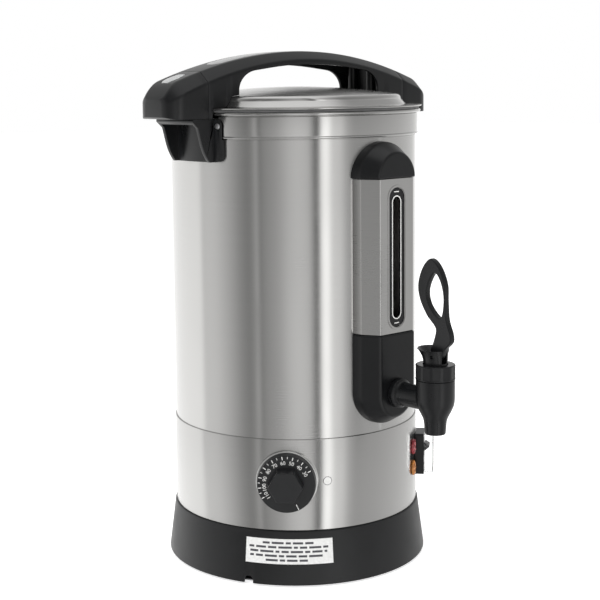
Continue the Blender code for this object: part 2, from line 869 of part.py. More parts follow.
def half_round_shell(name, stations, centre_z, flat_z, slot):
    """Upright outlines, half round at one end and straight to flat_z, joined from back to front."""
    up = 1.0 if flat_z <= centre_z else -1.0
    sections = []
    for radius, depth in stations:
        dome = arc((0.0, centre_z), radius, 0.0, 180.0 * up, 14)
        outline = [(radius, flat_z)] + dome + [(-radius, flat_z)]
        sections.append([(x, -depth, z) for x, z in outline])
    return loft(name, sections, slot)


def mirrored(points):
    return [(-x, y) for x, y in points]


def make_level_housing():
    tank_trim = wall_trim("housing_tank_cutter", TANK_RADIUS + GAP, 0.10, 0.40)
    back = 0.1000
    wall = 0.0020

    def half_plan(extra):
        return [
            (HOUSING_HALF_WIDTH + extra, back),
            (HOUSING_HALF_WIDTH + extra - 0.0010, HOUSING_SHOULDER + extra / 2),
            (HOUSING_FACE_HALF_WIDTH + extra, HOUSING_FRONT + min(extra, 0.0008)),
        ]

    def black_piece(name, extra, centre_z, flat_z, open_z):
        piece = half_round_shell(name, half_plan(extra), centre_z, flat_z, "black_plastic")
        bevel(piece, 0.0015, 2, 20.0)
        inside = [(half - wall, depth) for half, depth in half_plan(extra)]
        inside[0] = (inside[0][0], back - 0.01)
        inside[1] = (inside[1][0], inside[1][1] - wall / 2)
        inside[2] = (inside[2][0] + wall / 2, inside[2][1] - wall)
        boolean(piece, half_round_shell(name + "_inside_cutter", inside, centre_z, open_z, None))
        boolean(piece, tank_trim)
        return smooth(piece)

    cap_flat = HOUSING_COVER_TOP_Z + GAP
    foot_flat = HOUSING_COVER_BOTTOM_Z - GAP
    black_piece("gauge_cap", 0.0018, cap_flat, cap_flat, cap_flat - 0.01)
    foot = black_piece("gauge_foot", 0.0008, TAP_Z, foot_flat, foot_flat + 0.01)
    shank_hole = cylinder("foot_hole_cutter", SHANK_RADIUS + 0.0004, 0.125, 0.14, None, forward_at(TAP_Z))
    boolean(foot, shank_hole)

    outer = [(half, -depth) for half, depth in half_plan(0.0)]
    inner = [(half - SHEET, -depth + SHEET * 0.8) for half, depth in half_plan(0.0)]
    inner[0] = (inner[0][0], -back)
    outline = outer + mirrored(outer[::-1]) + mirrored(inner) + inner[::-1]
    cover = prism("gauge_cover", outline, HOUSING_COVER_BOTTOM_Z, HOUSING_COVER_TOP_Z, "brushed_steel")
    boolean(cover, tank_trim)
    face_cut = (HOUSING_FRONT - 0.011, HOUSING_FRONT + 0.009)
    slot_outline = stadium(SLOT_HALF_WIDTH, SLOT_BOTTOM_Z, SLOT_TOP_Z)
    boolean(cover, prism("slot_cutter", slot_outline, *face_cut, None, forward_at(0.0)))

    edge = 0.0004
    scale = prism(
        "level_scale",
        stadium(SLOT_HALF_WIDTH - edge, SLOT_BOTTOM_Z + edge, SLOT_TOP_Z - edge),
        HOUSING_FRONT - 0.0022,
        HOUSING_FRONT - 0.0005,
        "black_plastic",
        forward_at(0.0),
    )
    window_inset = 0.0078
    window_half_width = 0.0046
    window_outline = stadium(window_half_width, SLOT_BOTTOM_Z + window_inset, SLOT_TOP_Z - window_inset)
    boolean(scale, prism("window_cutter", window_outline, *face_cut, None, forward_at(0.0)))


def make_sight_tube():
    tube_y = -0.1206
    socket_top = 0.1970
    tube_radius = 0.0040
    column = Matrix.Translation((0.0, tube_y, 0.0))
    bore = SHANK_RADIUS + 0.0004
    tee = cylinder("level_tee", 0.0125, 0.1135, 0.1272, "black_plastic", forward_at(TAP_Z))
    boolean(tee, cylinder("tee_socket", 0.0062, TAP_Z + 0.003, socket_top, None, column, 24), "UNION")
    boolean(tee, cylinder("tee_bore_cutter", bore, 0.10, 0.14, None, forward_at(TAP_Z)))
    boolean(tee, cylinder("tee_socket_cutter", tube_radius + 0.0004, 0.1850, 0.21, None, column, 24))
    boolean(tee, cylinder("tee_passage_cutter", 0.0026, TAP_Z, 0.19, None, column, 12))
    tube_bottom = 0.1854
    tube_top = 0.3440
    turned(
        "sight_tube",
        [
            (0.0028, tube_top),
            (tube_radius, tube_top),
            (tube_radius, tube_bottom),
            (0.0028, tube_bottom),
        ],
        "clear_glass",
        steps=20,
        matrix=column,
    )
    turned(
        "sight_tube_stopper",
        [
            (0.0010, tube_top + 0.008),
            (0.0056, tube_top + 0.008),
            (0.0056, tube_top + GAP),
            (0.0010, tube_top + GAP),
        ],
        "silicone",
        steps=16,
        matrix=column,
    )


# Tap ----------------------------------------------------------------------------------------


def ring(name, inner, outer, low, high, slot, matrix, steps=SMALL_STEPS):
    profile = [(inner, high), (outer, high), (outer, low), (inner, low)]
    return turned(name, profile, slot, steps=steps, matrix=matrix)


def make_tap_fixings():
    frame = forward_at(TAP_Z)
    bore = SHANK_RADIUS + 0.0003
    ring("tank_gasket_outer", bore, 0.0125, TANK_RADIUS + GAP, 0.1132, "silicone", frame)
    ring("tank_gasket_inner", bore, 0.0135, 0.1068, 0.1088, "silicone", frame)
    nut = cylinder("tap_nut", 0.0150, 0.0990, 0.1065, "zinc_steel", frame, 6)
    boolean(nut, cylinder("nut_bore_cutter", bore, 0.09, 0.12, None, frame))


def make_tap_body():
    column = Matrix.Translation((0.0, TAP_AXIS_Y, 0.0))
    spigot_radius = 0.0138
    shoulder_z = COLLAR_BOTTOM_Z - GAP
    body = turned(
        "tap_body",
        [
            (0.0, 0.1915),
            (spigot_radius, 0.1915),
            (spigot_radius, shoulder_z),
            (TAP_BODY_RADIUS, shoulder_z),
            (TAP_BODY_RADIUS, 0.1680),
            (0.0157, 0.1630),
            (0.0136, 0.1580),
            (0.0108, 0.1525),
            (0.0097, 0.1490),
            (0.0092, 0.1450),
            (0.0080, 0.1380),
            (0.0, 0.1380),
        ],
        "black_plastic",
        steps=28,
        matrix=column,
    )
    flange_back = HOUSING_FRONT + 0.0008 + GAP
    shank = turned(
        "tap_shank",
        [
            (0.0, 0.1680),
            (ARM_RADIUS, 0.1680),
            (ARM_RADIUS, 0.1400),
            (0.0106, 0.1378),
            (0.0122, 0.1366),
            (0.0126, 0.1345),
            (0.0126, flange_back),
            (SHANK_RADIUS, flange_back),
            (SHANK_RADIUS, 0.0960),
            (0.0, 0.0960),
        ],
        None,
        steps=SMALL_STEPS,
        matrix=forward_at(TAP_Z),
    )
    chamber_floor = 0.1600
    boolean(body, shank, "UNION")
    boolean(body, cylinder("chamber_cutter", 0.0115, chamber_floor, 0.20, None, column))
    boolean(body, cylinder("outlet_cutter", 0.0060, 0.13, 0.17, None, column, 24))
    bore_frame = forward_at(TAP_Z + 0.0004)
    boolean(body, cylinder("inlet_bore_cutter", 0.0052, 0.09, 0.1700, None, bore_frame, 24))
    collar_lip_z = 0.1941
    turned(
        "tap_collar",
        [
            (0.0108, COLLAR_TOP_Z),
            (TAP_BODY_RADIUS - 0.0005, COLLAR_TOP_Z),
            (TAP_BODY_RADIUS + 0.0003, COLLAR_TOP_Z - 0.001),
            (TAP_BODY_RADIUS + 0.0003, COLLAR_BOTTOM_Z),
            (spigot_radius + GAP, COLLAR_BOTTOM_Z),
            (spigot_radius + GAP, collar_lip_z),
            (0.0108, collar_lip_z),
        ],
        "black_plastic",
        steps=28,
        matrix=column,
    )


def circle_section(radius, shift_y, height, steps=28):
    points = arc((0.0, TAP_AXIS_Y + shift_y), radius, 0.0, 360.0, steps)[:-1]
    return [(x, y, height) for x, y in points]


def make_tap_bonnet():
    """A cup with a flared back lip and a slot in front for the lever."""
    neck = 0.0103
    bonnet = loft(
        "tap_bonnet",
        [
            circle_section(0.0136, 0.0, 0.1918),
            circle_section(0.0136, 0.0, 0.1938),
            circle_section(neck, 0.0, 0.1938),
            circle_section(neck, 0.0, 0.2020),
            circle_section(0.0111, 0.0008, 0.2062),
            circle_section(0.0134, 0.0025, 0.2106),
            circle_section(0.0128, 0.0025, 0.2112),
            circle_section(0.0098, 0.0010, 0.2072),
            circle_section(0.0082, 0.0003, 0.2048),
        ],
        "black_plastic",
    )
    column = Matrix.Translation((0.0, TAP_AXIS_Y, 0.0))
    slot_half = LEVER_THICKNESS / 2 + 0.0004
    boolean(bonnet, cylinder("stem_bore_cutter", 0.0026, 0.18, 0.22, None, column, 16))
    slot_floor_z = 0.1990
    slot_back_y = -0.1690
    slot_low, slot_high = (-slot_half, -0.195, slot_floor_z), (slot_half, slot_back_y, 0.22)
    boolean(bonnet, box("lever_slot_cutter", slot_low, slot_high, None))
    pin_place = Matrix.Translation((0.0, LEVER_PIN_Y, LEVER_PIN_Z))
    pin_frame = pin_place @ Matrix.Rotation(math.radians(90), 4, "Y")
    boolean(bonnet, cylinder("pin_hole_cutter", 0.0015, -0.012, 0.012, None, pin_frame, 12))
    cylinder("lever_pin", 0.0011, -0.0085, 0.0085, "zinc_steel", pin_frame, 12)
    smooth(bonnet)
    return pin_frame


def make_tap_lever(pin_frame):
    outer = [
        (-0.1872, 0.2113),
        (-0.1938, 0.2180),
        (-0.1938, 0.2250),
        (-0.1893, 0.2365),
        (-0.1880, 0.2513),
        (-0.1872, 0.2660),
        (-0.1805, 0.2800),
        (-0.1712, 0.2862),
        (-0.1625, 0.2785),
        (-0.1572, 0.2642),
        (-0.1592, 0.2510),
        (-0.1668, 0.2384),
        (-0.1752, 0.2304),
        (-0.1770, 0.2255),
        (-0.1738, 0.2150),
        (-0.1712, 0.2092),
        (-0.1752, 0.2040),
        (-0.1795, 0.2002),
        (-0.1838, 0.2040),
    ]
    hole = [
        (-0.1752, 0.2742),
        (-0.1675, 0.2605),
        (-0.1700, 0.2474),
        (-0.1818, 0.2375),
        (-0.1853, 0.2524),
        (-0.1822, 0.2669),
    ]
    lever = plate_with_hole("tap_lever", outer, hole, LEVER_THICKNESS, "black_plastic", 0.0012)
    pin = Vector((0.0, LEVER_PIN_Y, LEVER_PIN_Z))
    lever.data.transform(Matrix.Translation(-pin))
    lever.location = pin
    boolean(lever, cylinder("lever_pin_cutter", 0.0014, -0.02, 0.02, None, pin_frame, 12))


def make_valve():
    column = Matrix.Translation((0.0, TAP_AXIS_Y, 0.0))
    cup_top = 0.1650
    turned(
        "seat_cup",
        [(0.0, cup_top), (0.0088, cup_top), (0.0088, 0.1603), (0.0, 0.1603)],
        "silicone",
        steps=24,
        matrix=column,
    )
    turned(
        "valve_stem",
        [
            (0.0, 0.1962),
            (0.0021, 0.1962),
            (0.0021, 0.1670),
            (0.0064, 0.1670),
            (0.0064, cup_top + GAP),
            (0.0, cup_top + GAP),
        ],
        "black_plastic",
        steps=16,
        matrix=column,
    )
    turns = 6
    steps_per_turn = 10
    low, high = 0.1680, 0.1906
    coil_radius = 0.0046
    curve = bpy.data.curves.new("tap_spring", "CURVE")
    curve.dimensions = "3D"
    curve.bevel_depth = 0.0005
    curve.bevel_resolution = 0
    curve.use_fill_caps = True
    spline = curve.splines.new("POLY")
    spline.points.add(turns * steps_per_turn)
    for i, point in enumerate(spline.points):
        turn = 2 * math.pi * i / steps_per_turn
        height = low + (high - low) * i / (turns * steps_per_turn)
        point.co = (coil_radius * math.cos(turn), coil_radius * math.sin(turn), height, 1.0)
    add_object("tap_spring", curve, "zinc_steel", column)


# Controls -----------------------------------------------------------------------------------


def make_thermostat():
    frame = radial_frame(DIAL_ANGLE, DIAL_Z)
    shaft_hole = cylinder("thermostat_hole_cutter", SHAFT_RADIUS + GAP, 0.08, 0.115, None, frame, 16)
    shell_trim = wall_trim("control_cutter", CONTROL_RADIUS + GAP, 0.04, 0.14)
    body = box("thermostat", (-0.015, -0.012, 0.084), (0.015, 0.012, 0.1055), "zinc_steel", frame)
    boolean(body, shaft_hole)
    cylinder("thermostat_shaft", SHAFT_RADIUS, 0.086, 0.1300, "zinc_steel", frame, 16)
    bezel = ring("dial_bezel", 0.0235, 0.0266, 0.1040, 0.1168, "polished_steel", frame, 48)
    boolean(bezel, shell_trim)

    knob = turned(
        "thermostat_knob",
        [
            (0.0, 0.1245),
            (0.0240, 0.1245),
            (0.0250, 0.1240),
            (0.0256, 0.1172),
            (0.0, 0.1172),
        ],
        "knob_plastic",
        steps=48,
        matrix=frame,
    )
    grip = cylinder("knob_grip", 0.0158, 0.1230, 0.1360, None, frame, 6, 0.0148)
    boolean(knob, grip, "UNION")
    boolean(knob, cylinder("knob_bore_cutter", SHAFT_RADIUS + GAP, 0.11, 0.1306, None, frame, 16))
    return shell_trim


def make_switch(shell_trim):
    frame = radial_frame(SWITCH_ANGLE, SWITCH_Z)
    front = 0.1200
    body = prism(
        "switch_body", rounded_rectangle(0.0125, 0.0190, 0.0015), 0.105, front, "black_plastic", frame
    )
    boolean(body, shell_trim)
    stem = prism("switch_stem", rounded_rectangle(0.0083, 0.0143, 0.0008), 0.088, 0.1150, None, frame)
    boolean(body, stem, "UNION")
    pocket = box("switch_pocket_cutter", (-0.0074, -0.0130, 0.1030), (0.0074, 0.0130, 0.13), None, frame)
    boolean(body, pocket)

    rest_tilt = 15.0
    pivot = 0.1148
    valley = 0.0035
    tip = 0.0085
    outline = [
        (-0.0108, 0.0030),
        (-0.0090, -0.0045),
        (0.0090, -0.0045),
        (0.0108, 0.0030),
        (tip, tip),
        (0.0, valley),
        (-tip, tip),
    ]
    tilt = Matrix.Rotation(math.radians(rest_tilt), 4, "X")
    place = frame @ Matrix.Translation((0.0, 0.0, pivot)) @ tilt @ YZ_PLANE
    prism("switch_rocker", outline, -0.0068, 0.0068, "black_plastic", place)

    cap_half_x, cap_half_y = 0.0112, 0.0178
    cap_top = 0.1284
    skin = 0.0006
    cap = prism(
        "switch_cover",
        rounded_rectangle(cap_half_x, cap_half_y, 0.002),
        front + GAP,
        cap_top,
        "clear_cap",
        frame,
    )
    hollow = prism(
        "cover_hollow_cutter",
        rounded_rectangle(cap_half_x - skin, cap_half_y - skin, 0.0015),
        0.11,
        cap_top - skin,
        None,
        frame,
    )
    boolean(cap, hollow)


def make_lamps():
    for name, slot, height in (
        ("power_lamp", "red_lens", LAMP_Z[0]),
        ("ready_lamp", "amber_lens", LAMP_Z[1]),
    ):
        frame = radial_frame(LAMP_ANGLE, height)
        stations = (
            (0.1000, 0.0031, 0.0055),
            (0.1124, 0.0031, 0.0055),
            (0.1124, 0.0042, 0.0070),
            (0.1142, 0.0040, 0.0068),
            (0.1150, 0.0028, 0.0054),
        )
        sections = []
        for depth, half_width, half_height in stations:
            outline = stadium(half_width, -half_height, half_height, 6)
            sections.append([frame @ Vector((x, y, depth)) for x, y in outline])
        loft(name, sections, slot)


def make_inlet(shell_trim):
    frame = radial_frame(180.0, INLET_Z)
    flange = rounded_rectangle(0.0170, 0.0140, 0.002)
    inlet = prism("power_inlet", flange, 0.105, 0.1150, "black_plastic", frame)
    boolean(inlet, shell_trim)
    stem = prism("inlet_stem", rounded_rectangle(0.0136, 0.0106, 0.001), 0.092, 0.1140, None, frame)
    boolean(inlet, stem, "UNION")
    recess_floor = 0.0960
    recess_outline = rounded_rectangle(0.0116, 0.0086, 0.001)
    boolean(inlet, prism("inlet_recess_cutter", recess_outline, recess_floor, CUT_END, None, frame))
    half = Vector((0.001, 0.002, 0.0))
    for number, (x, y) in enumerate(((-0.007, -0.002), (0.0, 0.002), (0.007, -0.002))):
        foot = Vector((x, y, recess_floor - 0.0020))
        tip = Vector((x, y, recess_floor + 0.0105))
        blade = box(f"inlet_blade_{number}", foot - half, tip + half, None, frame)
        boolean(inlet, blade, "UNION")


def main():
    clear_scene()
    make_collections()
    make_materials()
    make_base_shell()
    make_bottom_plate()
    make_feet()
    make_control_shell()
    make_tank()
    make_heater()
    make_lid()
    make_lid_handle()
    make_carrying_handles()
    make_level_housing()
    make_sight_tube()
    make_tap_fixings()
    make_tap_body()
    pin_frame = make_tap_bonnet()
    make_tap_lever(pin_frame)
    make_valve()
    shell_trim = make_thermostat()
    make_switch(shell_trim)
    make_lamps()
    make_inlet(shell_trim)


main()
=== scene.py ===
"""Looks for the brew kettle: fine surfaces, materials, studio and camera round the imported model."""

from math import cos, pi, radians, sin, sqrt, tan

import bmesh
import bpy
from mathutils import Matrix, Vector


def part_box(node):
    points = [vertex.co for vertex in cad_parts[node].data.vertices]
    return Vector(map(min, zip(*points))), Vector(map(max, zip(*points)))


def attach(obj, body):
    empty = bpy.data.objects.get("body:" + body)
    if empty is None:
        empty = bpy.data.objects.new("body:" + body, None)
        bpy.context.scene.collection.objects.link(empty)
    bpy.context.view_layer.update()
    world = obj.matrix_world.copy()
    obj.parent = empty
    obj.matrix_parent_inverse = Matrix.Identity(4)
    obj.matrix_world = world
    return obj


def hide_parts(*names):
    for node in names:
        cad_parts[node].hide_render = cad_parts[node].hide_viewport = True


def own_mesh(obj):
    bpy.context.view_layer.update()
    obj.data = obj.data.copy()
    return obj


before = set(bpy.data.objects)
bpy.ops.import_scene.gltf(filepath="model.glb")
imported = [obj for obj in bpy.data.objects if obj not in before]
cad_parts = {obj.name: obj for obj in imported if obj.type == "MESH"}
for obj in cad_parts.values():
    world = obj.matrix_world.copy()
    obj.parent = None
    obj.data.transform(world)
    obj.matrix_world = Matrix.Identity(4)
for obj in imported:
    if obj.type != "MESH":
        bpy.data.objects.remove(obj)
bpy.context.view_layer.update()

# Driving dimensions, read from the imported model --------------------

GAP = 0.0003
SHEET = 0.0008


def low(node):
    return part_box(node)[0]


def high(node):
    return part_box(node)[1]


BASE_BOTTOM_RADIUS = high("base_shell").x
BASE_BOTTOM_Z = low("base_shell").z
BASE_TOP_Z = high("base_shell").z
BASE_TOP_RADIUS = BASE_BOTTOM_RADIUS - 0.0061
CONTROL_RADIUS = high("control_shell").x
CONTROL_TOP_Z = high("control_shell").z
CONTROL_BOTTOM_Z = low("control_shell").z
RIM_RADIUS = high("tank").x
RIM_TOP_Z = high("tank").z
TANK_FLOOR_Z = low("tank").z
BAND_BEAD_RADIUS = high("rim_band").x
BAND_RADIUS = BAND_BEAD_RADIUS - 0.0006
BAND_TOP_Z = high("rim_band").z
BAND_BOTTOM_Z = low("rim_band").z
TANK_RADIUS = BAND_RADIUS - 0.0020
BRIM_RADIUS = high("lid_pan").x
BRIM_BOTTOM_Z = low("lid_pan").z
BRIM_TOP_Z = BRIM_BOTTOM_Z + 0.0014
LID_CROWN_Z = high("lid_pan").z
LID_EDGE_Z = LID_CROWN_Z - 0.0073
LID_FOOT_RADIUS = BRIM_RADIUS - 0.0138
LID_WALL_RADIUS = BRIM_RADIUS - 0.0183
LID_FILLET = 0.0042
LID_SHEET = 0.0012

ARCH_HALF_WIDTH = high("lid_handle_arch").y
ARCH_FLAT_HALF_WIDTH = 0.0145
ARCH_CROWN_Z = high("handle_inlay").z - 0.0002
ARCH_CROWN_RADIUS = 0.40
ARCH_SHOULDER_Z = ARCH_CROWN_Z - 0.0078
ARCH_SHOULDER_RADIUS = 0.36
ARCH_UNDERSIDE_Z = ARCH_CROWN_Z - 0.0118
ARCH_SPLIT_X = high("lid_handle_arch").x
ARCH_END_X = high("lid_handle_end_right").x
ARCH_BOTTOM_Z = low("lid_handle_end_right").z
ARCH_LEG_X = 0.0846
ARCH_CORNER_RADIUS = 0.016
ARCH_WALL = 0.0026
INLAY_HALF_LENGTH = high("handle_inlay").x
PAD_START_X = low("handle_pad").x + 0.0020
PAD_END_X = high("handle_pad").x - 0.0030
RECESS_DEPTH = -0.0013

GRIP_TOP_Z = high("carrying_handle_left").z
GRIP_BOTTOM_Z = low("carrying_handle_left").z
GRIP_PLATE_HALF_WIDTH = high("carrying_handle_left").y
GRIP_REACH = high("carrying_handle_right").x
GRIP_HALF_WIDTH = 0.0255

HOUSING_FRONT = -low("gauge_cover").y
HOUSING_SHOULDER = HOUSING_FRONT - 0.0145
HOUSING_HALF_WIDTH = high("gauge_cover").x
HOUSING_FACE_HALF_WIDTH = 0.0201
COVER_BOTTOM_Z = low("gauge_cover").z
COVER_TOP_Z = high("gauge_cover").z
SLOT_HALF_WIDTH = high("level_scale").x + 0.0004
SLOT_BOTTOM_Z = low("level_scale").z - 0.0004
SLOT_TOP_Z = high("level_scale").z + 0.0004

TAP_AXIS_Y = (low("tap_collar").y + high("tap_collar").y) / 2
TAP_RADIUS = high("tap_collar").x
COLUMN = Matrix.Translation((0.0, TAP_AXIS_Y, 0.0))
TAP_BOTTOM_Z = low("tap_body").z
TAP_Z = 0.1660
COLLAR_BOTTOM_Z = low("tap_collar").z
COLLAR_TOP_Z = high("tap_collar").z
BONNET_TOP_Z = high("tap_bonnet").z
LEVER_HALF_THICKNESS = high("tap_lever").x
PIN_CENTRE = (low("lever_pin") + high("lever_pin")) / 2
PIN_FRAME = Matrix.Translation(PIN_CENTRE) @ Matrix.Rotation(radians(90), 4, "Y")

DIAL_ANGLE = -46.0
DIAL_Z = (low("thermostat_knob").z + high("thermostat_knob").z) / 2
SWITCH_ANGLE = 40.0
SWITCH_Z = (low("switch_body").z + high("switch_body").z) / 2
LAMP_ANGLE = 29.5
INLET_Z = (low("power_inlet").z + high("power_inlet").z) / 2

ROUND_STEPS = 192
SMALL_STEPS = 64

# Where cutters start and end: through the round wall, through the gauge's face, and up the wall.
WALL_DEPTHS = (0.09, 0.13)
FACE_DEPTHS = (0.12, 0.14)
FITTING_HEIGHTS = (0.04, 0.14)
HOUSING_HEIGHTS = (0.10, 0.40)
TAP_HOLE_RADIUS = 0.0096


# Mesh helpers --------------------


def new_object(name, mesh, matrix=None):
    made = bpy.data.objects.new(name, mesh)
    bpy.context.scene.collection.objects.link(made)
    if matrix is not None:
        made.matrix_world = matrix
    return made


def mesh_from(name, build):
    mesh = bpy.data.meshes.new(name)
    shape = bmesh.new()
    build(shape)
    bmesh.ops.recalc_face_normals(shape, faces=shape.faces)
    shape.to_mesh(mesh)
    shape.free()
    return mesh


def arc(centre, radius, start, end, steps, radius_2=None):
    second = radius if radius_2 is None else radius_2
    turns = [radians(start + (end - start) * i / steps) for i in range(steps + 1)]
    return [(centre[0] + radius * cos(t), centre[1] + second * sin(t)) for t in turns]


def rounded(points, closed=True, steps=5):
    """An outline of (x, y) or (x, y, fillet) points, with each given fillet turned into an arc."""
    made = []
    count = len(points)
    for i, point in enumerate(points):
        fillet = point[2] if len(point) > 2 else 0.0
        corner = Vector(point[:2])
        if not fillet or (not closed and i in (0, count - 1)):
            made.append(tuple(corner))
            continue
        before = Vector(points[i - 1][:2]) - corner
        after = Vector(points[(i + 1) % count][:2]) - corner
        half = before.angle(after) / 2
        reach = min(fillet / tan(half), 0.49 * before.length, 0.49 * after.length)
        radius = reach * tan(half)
        before.normalize()
        after.normalize()
        centre = corner + (before + after).normalized() * (radius / sin(half))
        first = (corner + before * reach - centre).normalized()
        last = (corner + after * reach - centre).normalized()
        for step in range(steps + 1):
            spoke = first.slerp(last, step / steps) * radius
            made.append(tuple(centre + spoke))
    return made


def turned(name, profile, steps=ROUND_STEPS, matrix=None):
    """A profile of (radius, height) points turned about Z. It is open only where it meets the axis."""

    def build(shape):
        rings = []
        turns = [2 * pi * i / steps for i in range(steps)]
        for radius, height in profile:
            if radius < 1e-6:
                rings.append([shape.verts.new((0.0, 0.0, height))])
                continue
            spots = [(radius * cos(t), radius * sin(t), height) for t in turns]
            rings.append([shape.verts.new(spot) for spot in spots])
        pairs = list(zip(rings, rings[1:]))
        if len(rings[0]) > 1 and len(rings[-1]) > 1:
            pairs.append((rings[-1], rings[0]))
        for first, second in pairs:
            for i in range(steps):
                j = (i + 1) % steps
                if len(first) == 1 and len(second) == 1:
                    break
                if len(first) == 1:
                    shape.faces.new((first[0], second[j], second[i]))
                elif len(second) == 1:
                    shape.faces.new((first[i], first[j], second[0]))
                else:
                    shape.faces.new((first[i], first[j], second[j], second[i]))

    return new_object(name, mesh_from(name, build), matrix)


def prism(name, outline, bottom, top, matrix=None):
    """A flat outline of (x, y) points, raised along Z."""

    def build(shape):
        lower = [shape.verts.new((x, y, bottom)) for x, y in outline]
        upper = [shape.verts.new((x, y, top)) for x, y in outline]
        shape.faces.new(lower[::-1])
        shape.faces.new(upper)
        for i in range(len(outline)):
            j = (i + 1) % len(outline)
            shape.faces.new((lower[i], lower[j], upper[j], upper[i]))

    return new_object(name, mesh_from(name, build), matrix)


def loft(name, sections):
    """Closed sections with the same number of points, joined in order and capped at both ends."""

    def build(shape):
        rings = [[shape.verts.new(point) for point in section] for section in sections]
        count = len(rings[0])
        for first, second in zip(rings, rings[1:]):
            for i in range(count):
                j = (i + 1) % count
                shape.faces.new((first[i], first[j], second[j], second[i]))
        shape.faces.new(rings[0][::-1])
        shape.faces.new(rings[-1])

    return new_object(name, mesh_from(name, build))


def slab(name, lower, upper, matrix=None):
    """A straight-sided block between two corners."""
    outline = [(lower[0], lower[1]), (upper[0], lower[1]), (upper[0], upper[1]), (lower[0], upper[1])]
    return prism(name, outline, lower[2], upper[2], matrix)


def rod(name, radius, bottom, top, matrix=None, steps=SMALL_STEPS):
    return turned(name, [(0.0, bottom), (radius, bottom), (radius, top), (0.0, top)], steps, matrix)


def combine(thing, other, operation="DIFFERENCE"):
    """Cuts or joins another object with thing at once, and removes the other object."""
    made = thing.modifiers.new("Combine", "BOOLEAN")
    made.operation = operation
    made.solver = "EXACT"
    made.object = other
    settle(thing)
    bpy.data.objects.remove(other, do_unlink=True)
    return thing


def cut(thing, outline, bottom, top, matrix=None):
    """Cuts a flat outline out of thing, between two depths."""
    return combine(thing, prism("cutter", outline, bottom, top, matrix))


def drill(thing, radius, bottom, top, matrix=None, steps=SMALL_STEPS):
    return combine(thing, rod("cutter", radius, bottom, top, matrix, steps))


def trim(thing, radius, bottom, top):
    """Cuts away all of thing that is inside a round wall."""
    return drill(thing, radius, bottom, top, None, ROUND_STEPS)


def settle(thing):
    """Replaces an object's mesh with its evaluated mesh."""
    bpy.context.view_layer.update()
    graph = bpy.context.evaluated_depsgraph_get()
    mesh = bpy.data.meshes.new_from_object(thing.evaluated_get(graph))
    old = thing.data
    thing.modifiers.clear()
    thing.data = mesh
    mesh.name = thing.name
    bpy.data.meshes.remove(old)
    return thing


def bevel(thing, width, segments=3, angle=28.0):
    made = thing.modifiers.new("Bevel", "BEVEL")
    made.width = width
    made.segments = segments
    made.limit_method = "ANGLE"
    made.angle_limit = radians(angle)
    made.use_clamp_overlap = True
    return settle(thing)


def smooth(thing, angle=30.0):
    thing.data.shade_smooth()
    thing.data.set_sharp_from_angle(angle=radians(angle))
    return thing


def weighted(thing, angle=40.0):
    """Smooth shading that keeps flat faces flat beside their rounded edges."""
    smooth(thing, angle)
    made = thing.modifiers.new("Normals", "WEIGHTED_NORMAL")
    made.keep_sharp = True
    made.weight = 60
    return thing


def merge(name, things):
    """Joins several objects into one, as loose parts of one mesh in world space."""
    whole = bmesh.new()
    for thing in things:
        piece = thing.data.copy()
        piece.transform(thing.matrix_world)
        whole.from_mesh(piece)
        bpy.data.meshes.remove(piece)
        bpy.data.objects.remove(thing, do_unlink=True)
    mesh = bpy.data.meshes.new(name)
    whole.to_mesh(mesh)
    whole.free()
    return new_object(name, mesh)


# A drawing plane's first two axes become world Y and Z.
YZ_PLANE = Matrix(((0, 0, 1, 0), (1, 0, 0, 0), (0, 1, 0, 0), (0, 0, 0, 1)))
# A drawing plane's first two axes become world X and Z, and its third -Y.
FORWARD = Matrix(((1, 0, 0, 0), (0, 0, -1, 0), (0, 1, 0, 0), (0, 0, 0, 1)))


def forward_at(height):
    return Matrix.Translation((0.0, 0.0, height)) @ FORWARD


def placed(x_axis, y_axis, z_axis, origin):
    """A matrix from its three axes and its origin."""
    made = Matrix((x_axis, y_axis, z_axis)).transposed().to_4x4()
    made.translation = origin
    return made


def radial_frame(angle, height):
    """Local Z points out of the kettle's axis at the angle from the tap, local X runs along the wall."""
    along, across = cos(radians(angle)), sin(radians(angle))
    return placed((along, across, 0.0), (0.0, 0.0, 1.0), (across, -along, 0.0), (0.0, 0.0, height))


def stadium(half_width, bottom, top, steps=16):
    upper = arc((0.0, top - half_width), half_width, 0.0, 180.0, steps)
    lower = arc((0.0, bottom + half_width), half_width, 180.0, 360.0, steps)
    return upper + lower


def rounded_rectangle(half_x, half_y, corner):
    points = []
    for sign_x, sign_y, start in ((1, 1, 0), (-1, 1, 90), (-1, -1, 180), (1, -1, 270)):
        centre = (sign_x * (half_x - corner), sign_y * (half_y - corner))
        points += arc(centre, corner, start, start + 90, 6)
    return points


def spread(start, end, steps):
    return [start + (end - start) * i / steps for i in range(steps + 1)]


# Materials --------------------


def node(tree, kind, inputs=None, **settings):
    made = tree.nodes.new("ShaderNode" + kind)
    for key, value in settings.items():
        setattr(made, key, value)
    for key, value in (inputs or {}).items():
        socket = made.inputs[key]
        if isinstance(value, bpy.types.NodeSocket):
            tree.links.new(value, socket)
        else:
            socket.default_value = value
    return made


MATERIALS = {}


def start_material(name, **inputs):
    """A listed material with a Principled shader, and the shader's own uniform values set."""
    made = bpy.data.materials.new(name)
    made.use_nodes = True
    MATERIALS[name] = made
    shader = made.node_tree.nodes["Principled BSDF"]
    for key, value in inputs.items():
        shader.inputs[key.replace("_", " ")].default_value = value
    return made.node_tree, shader


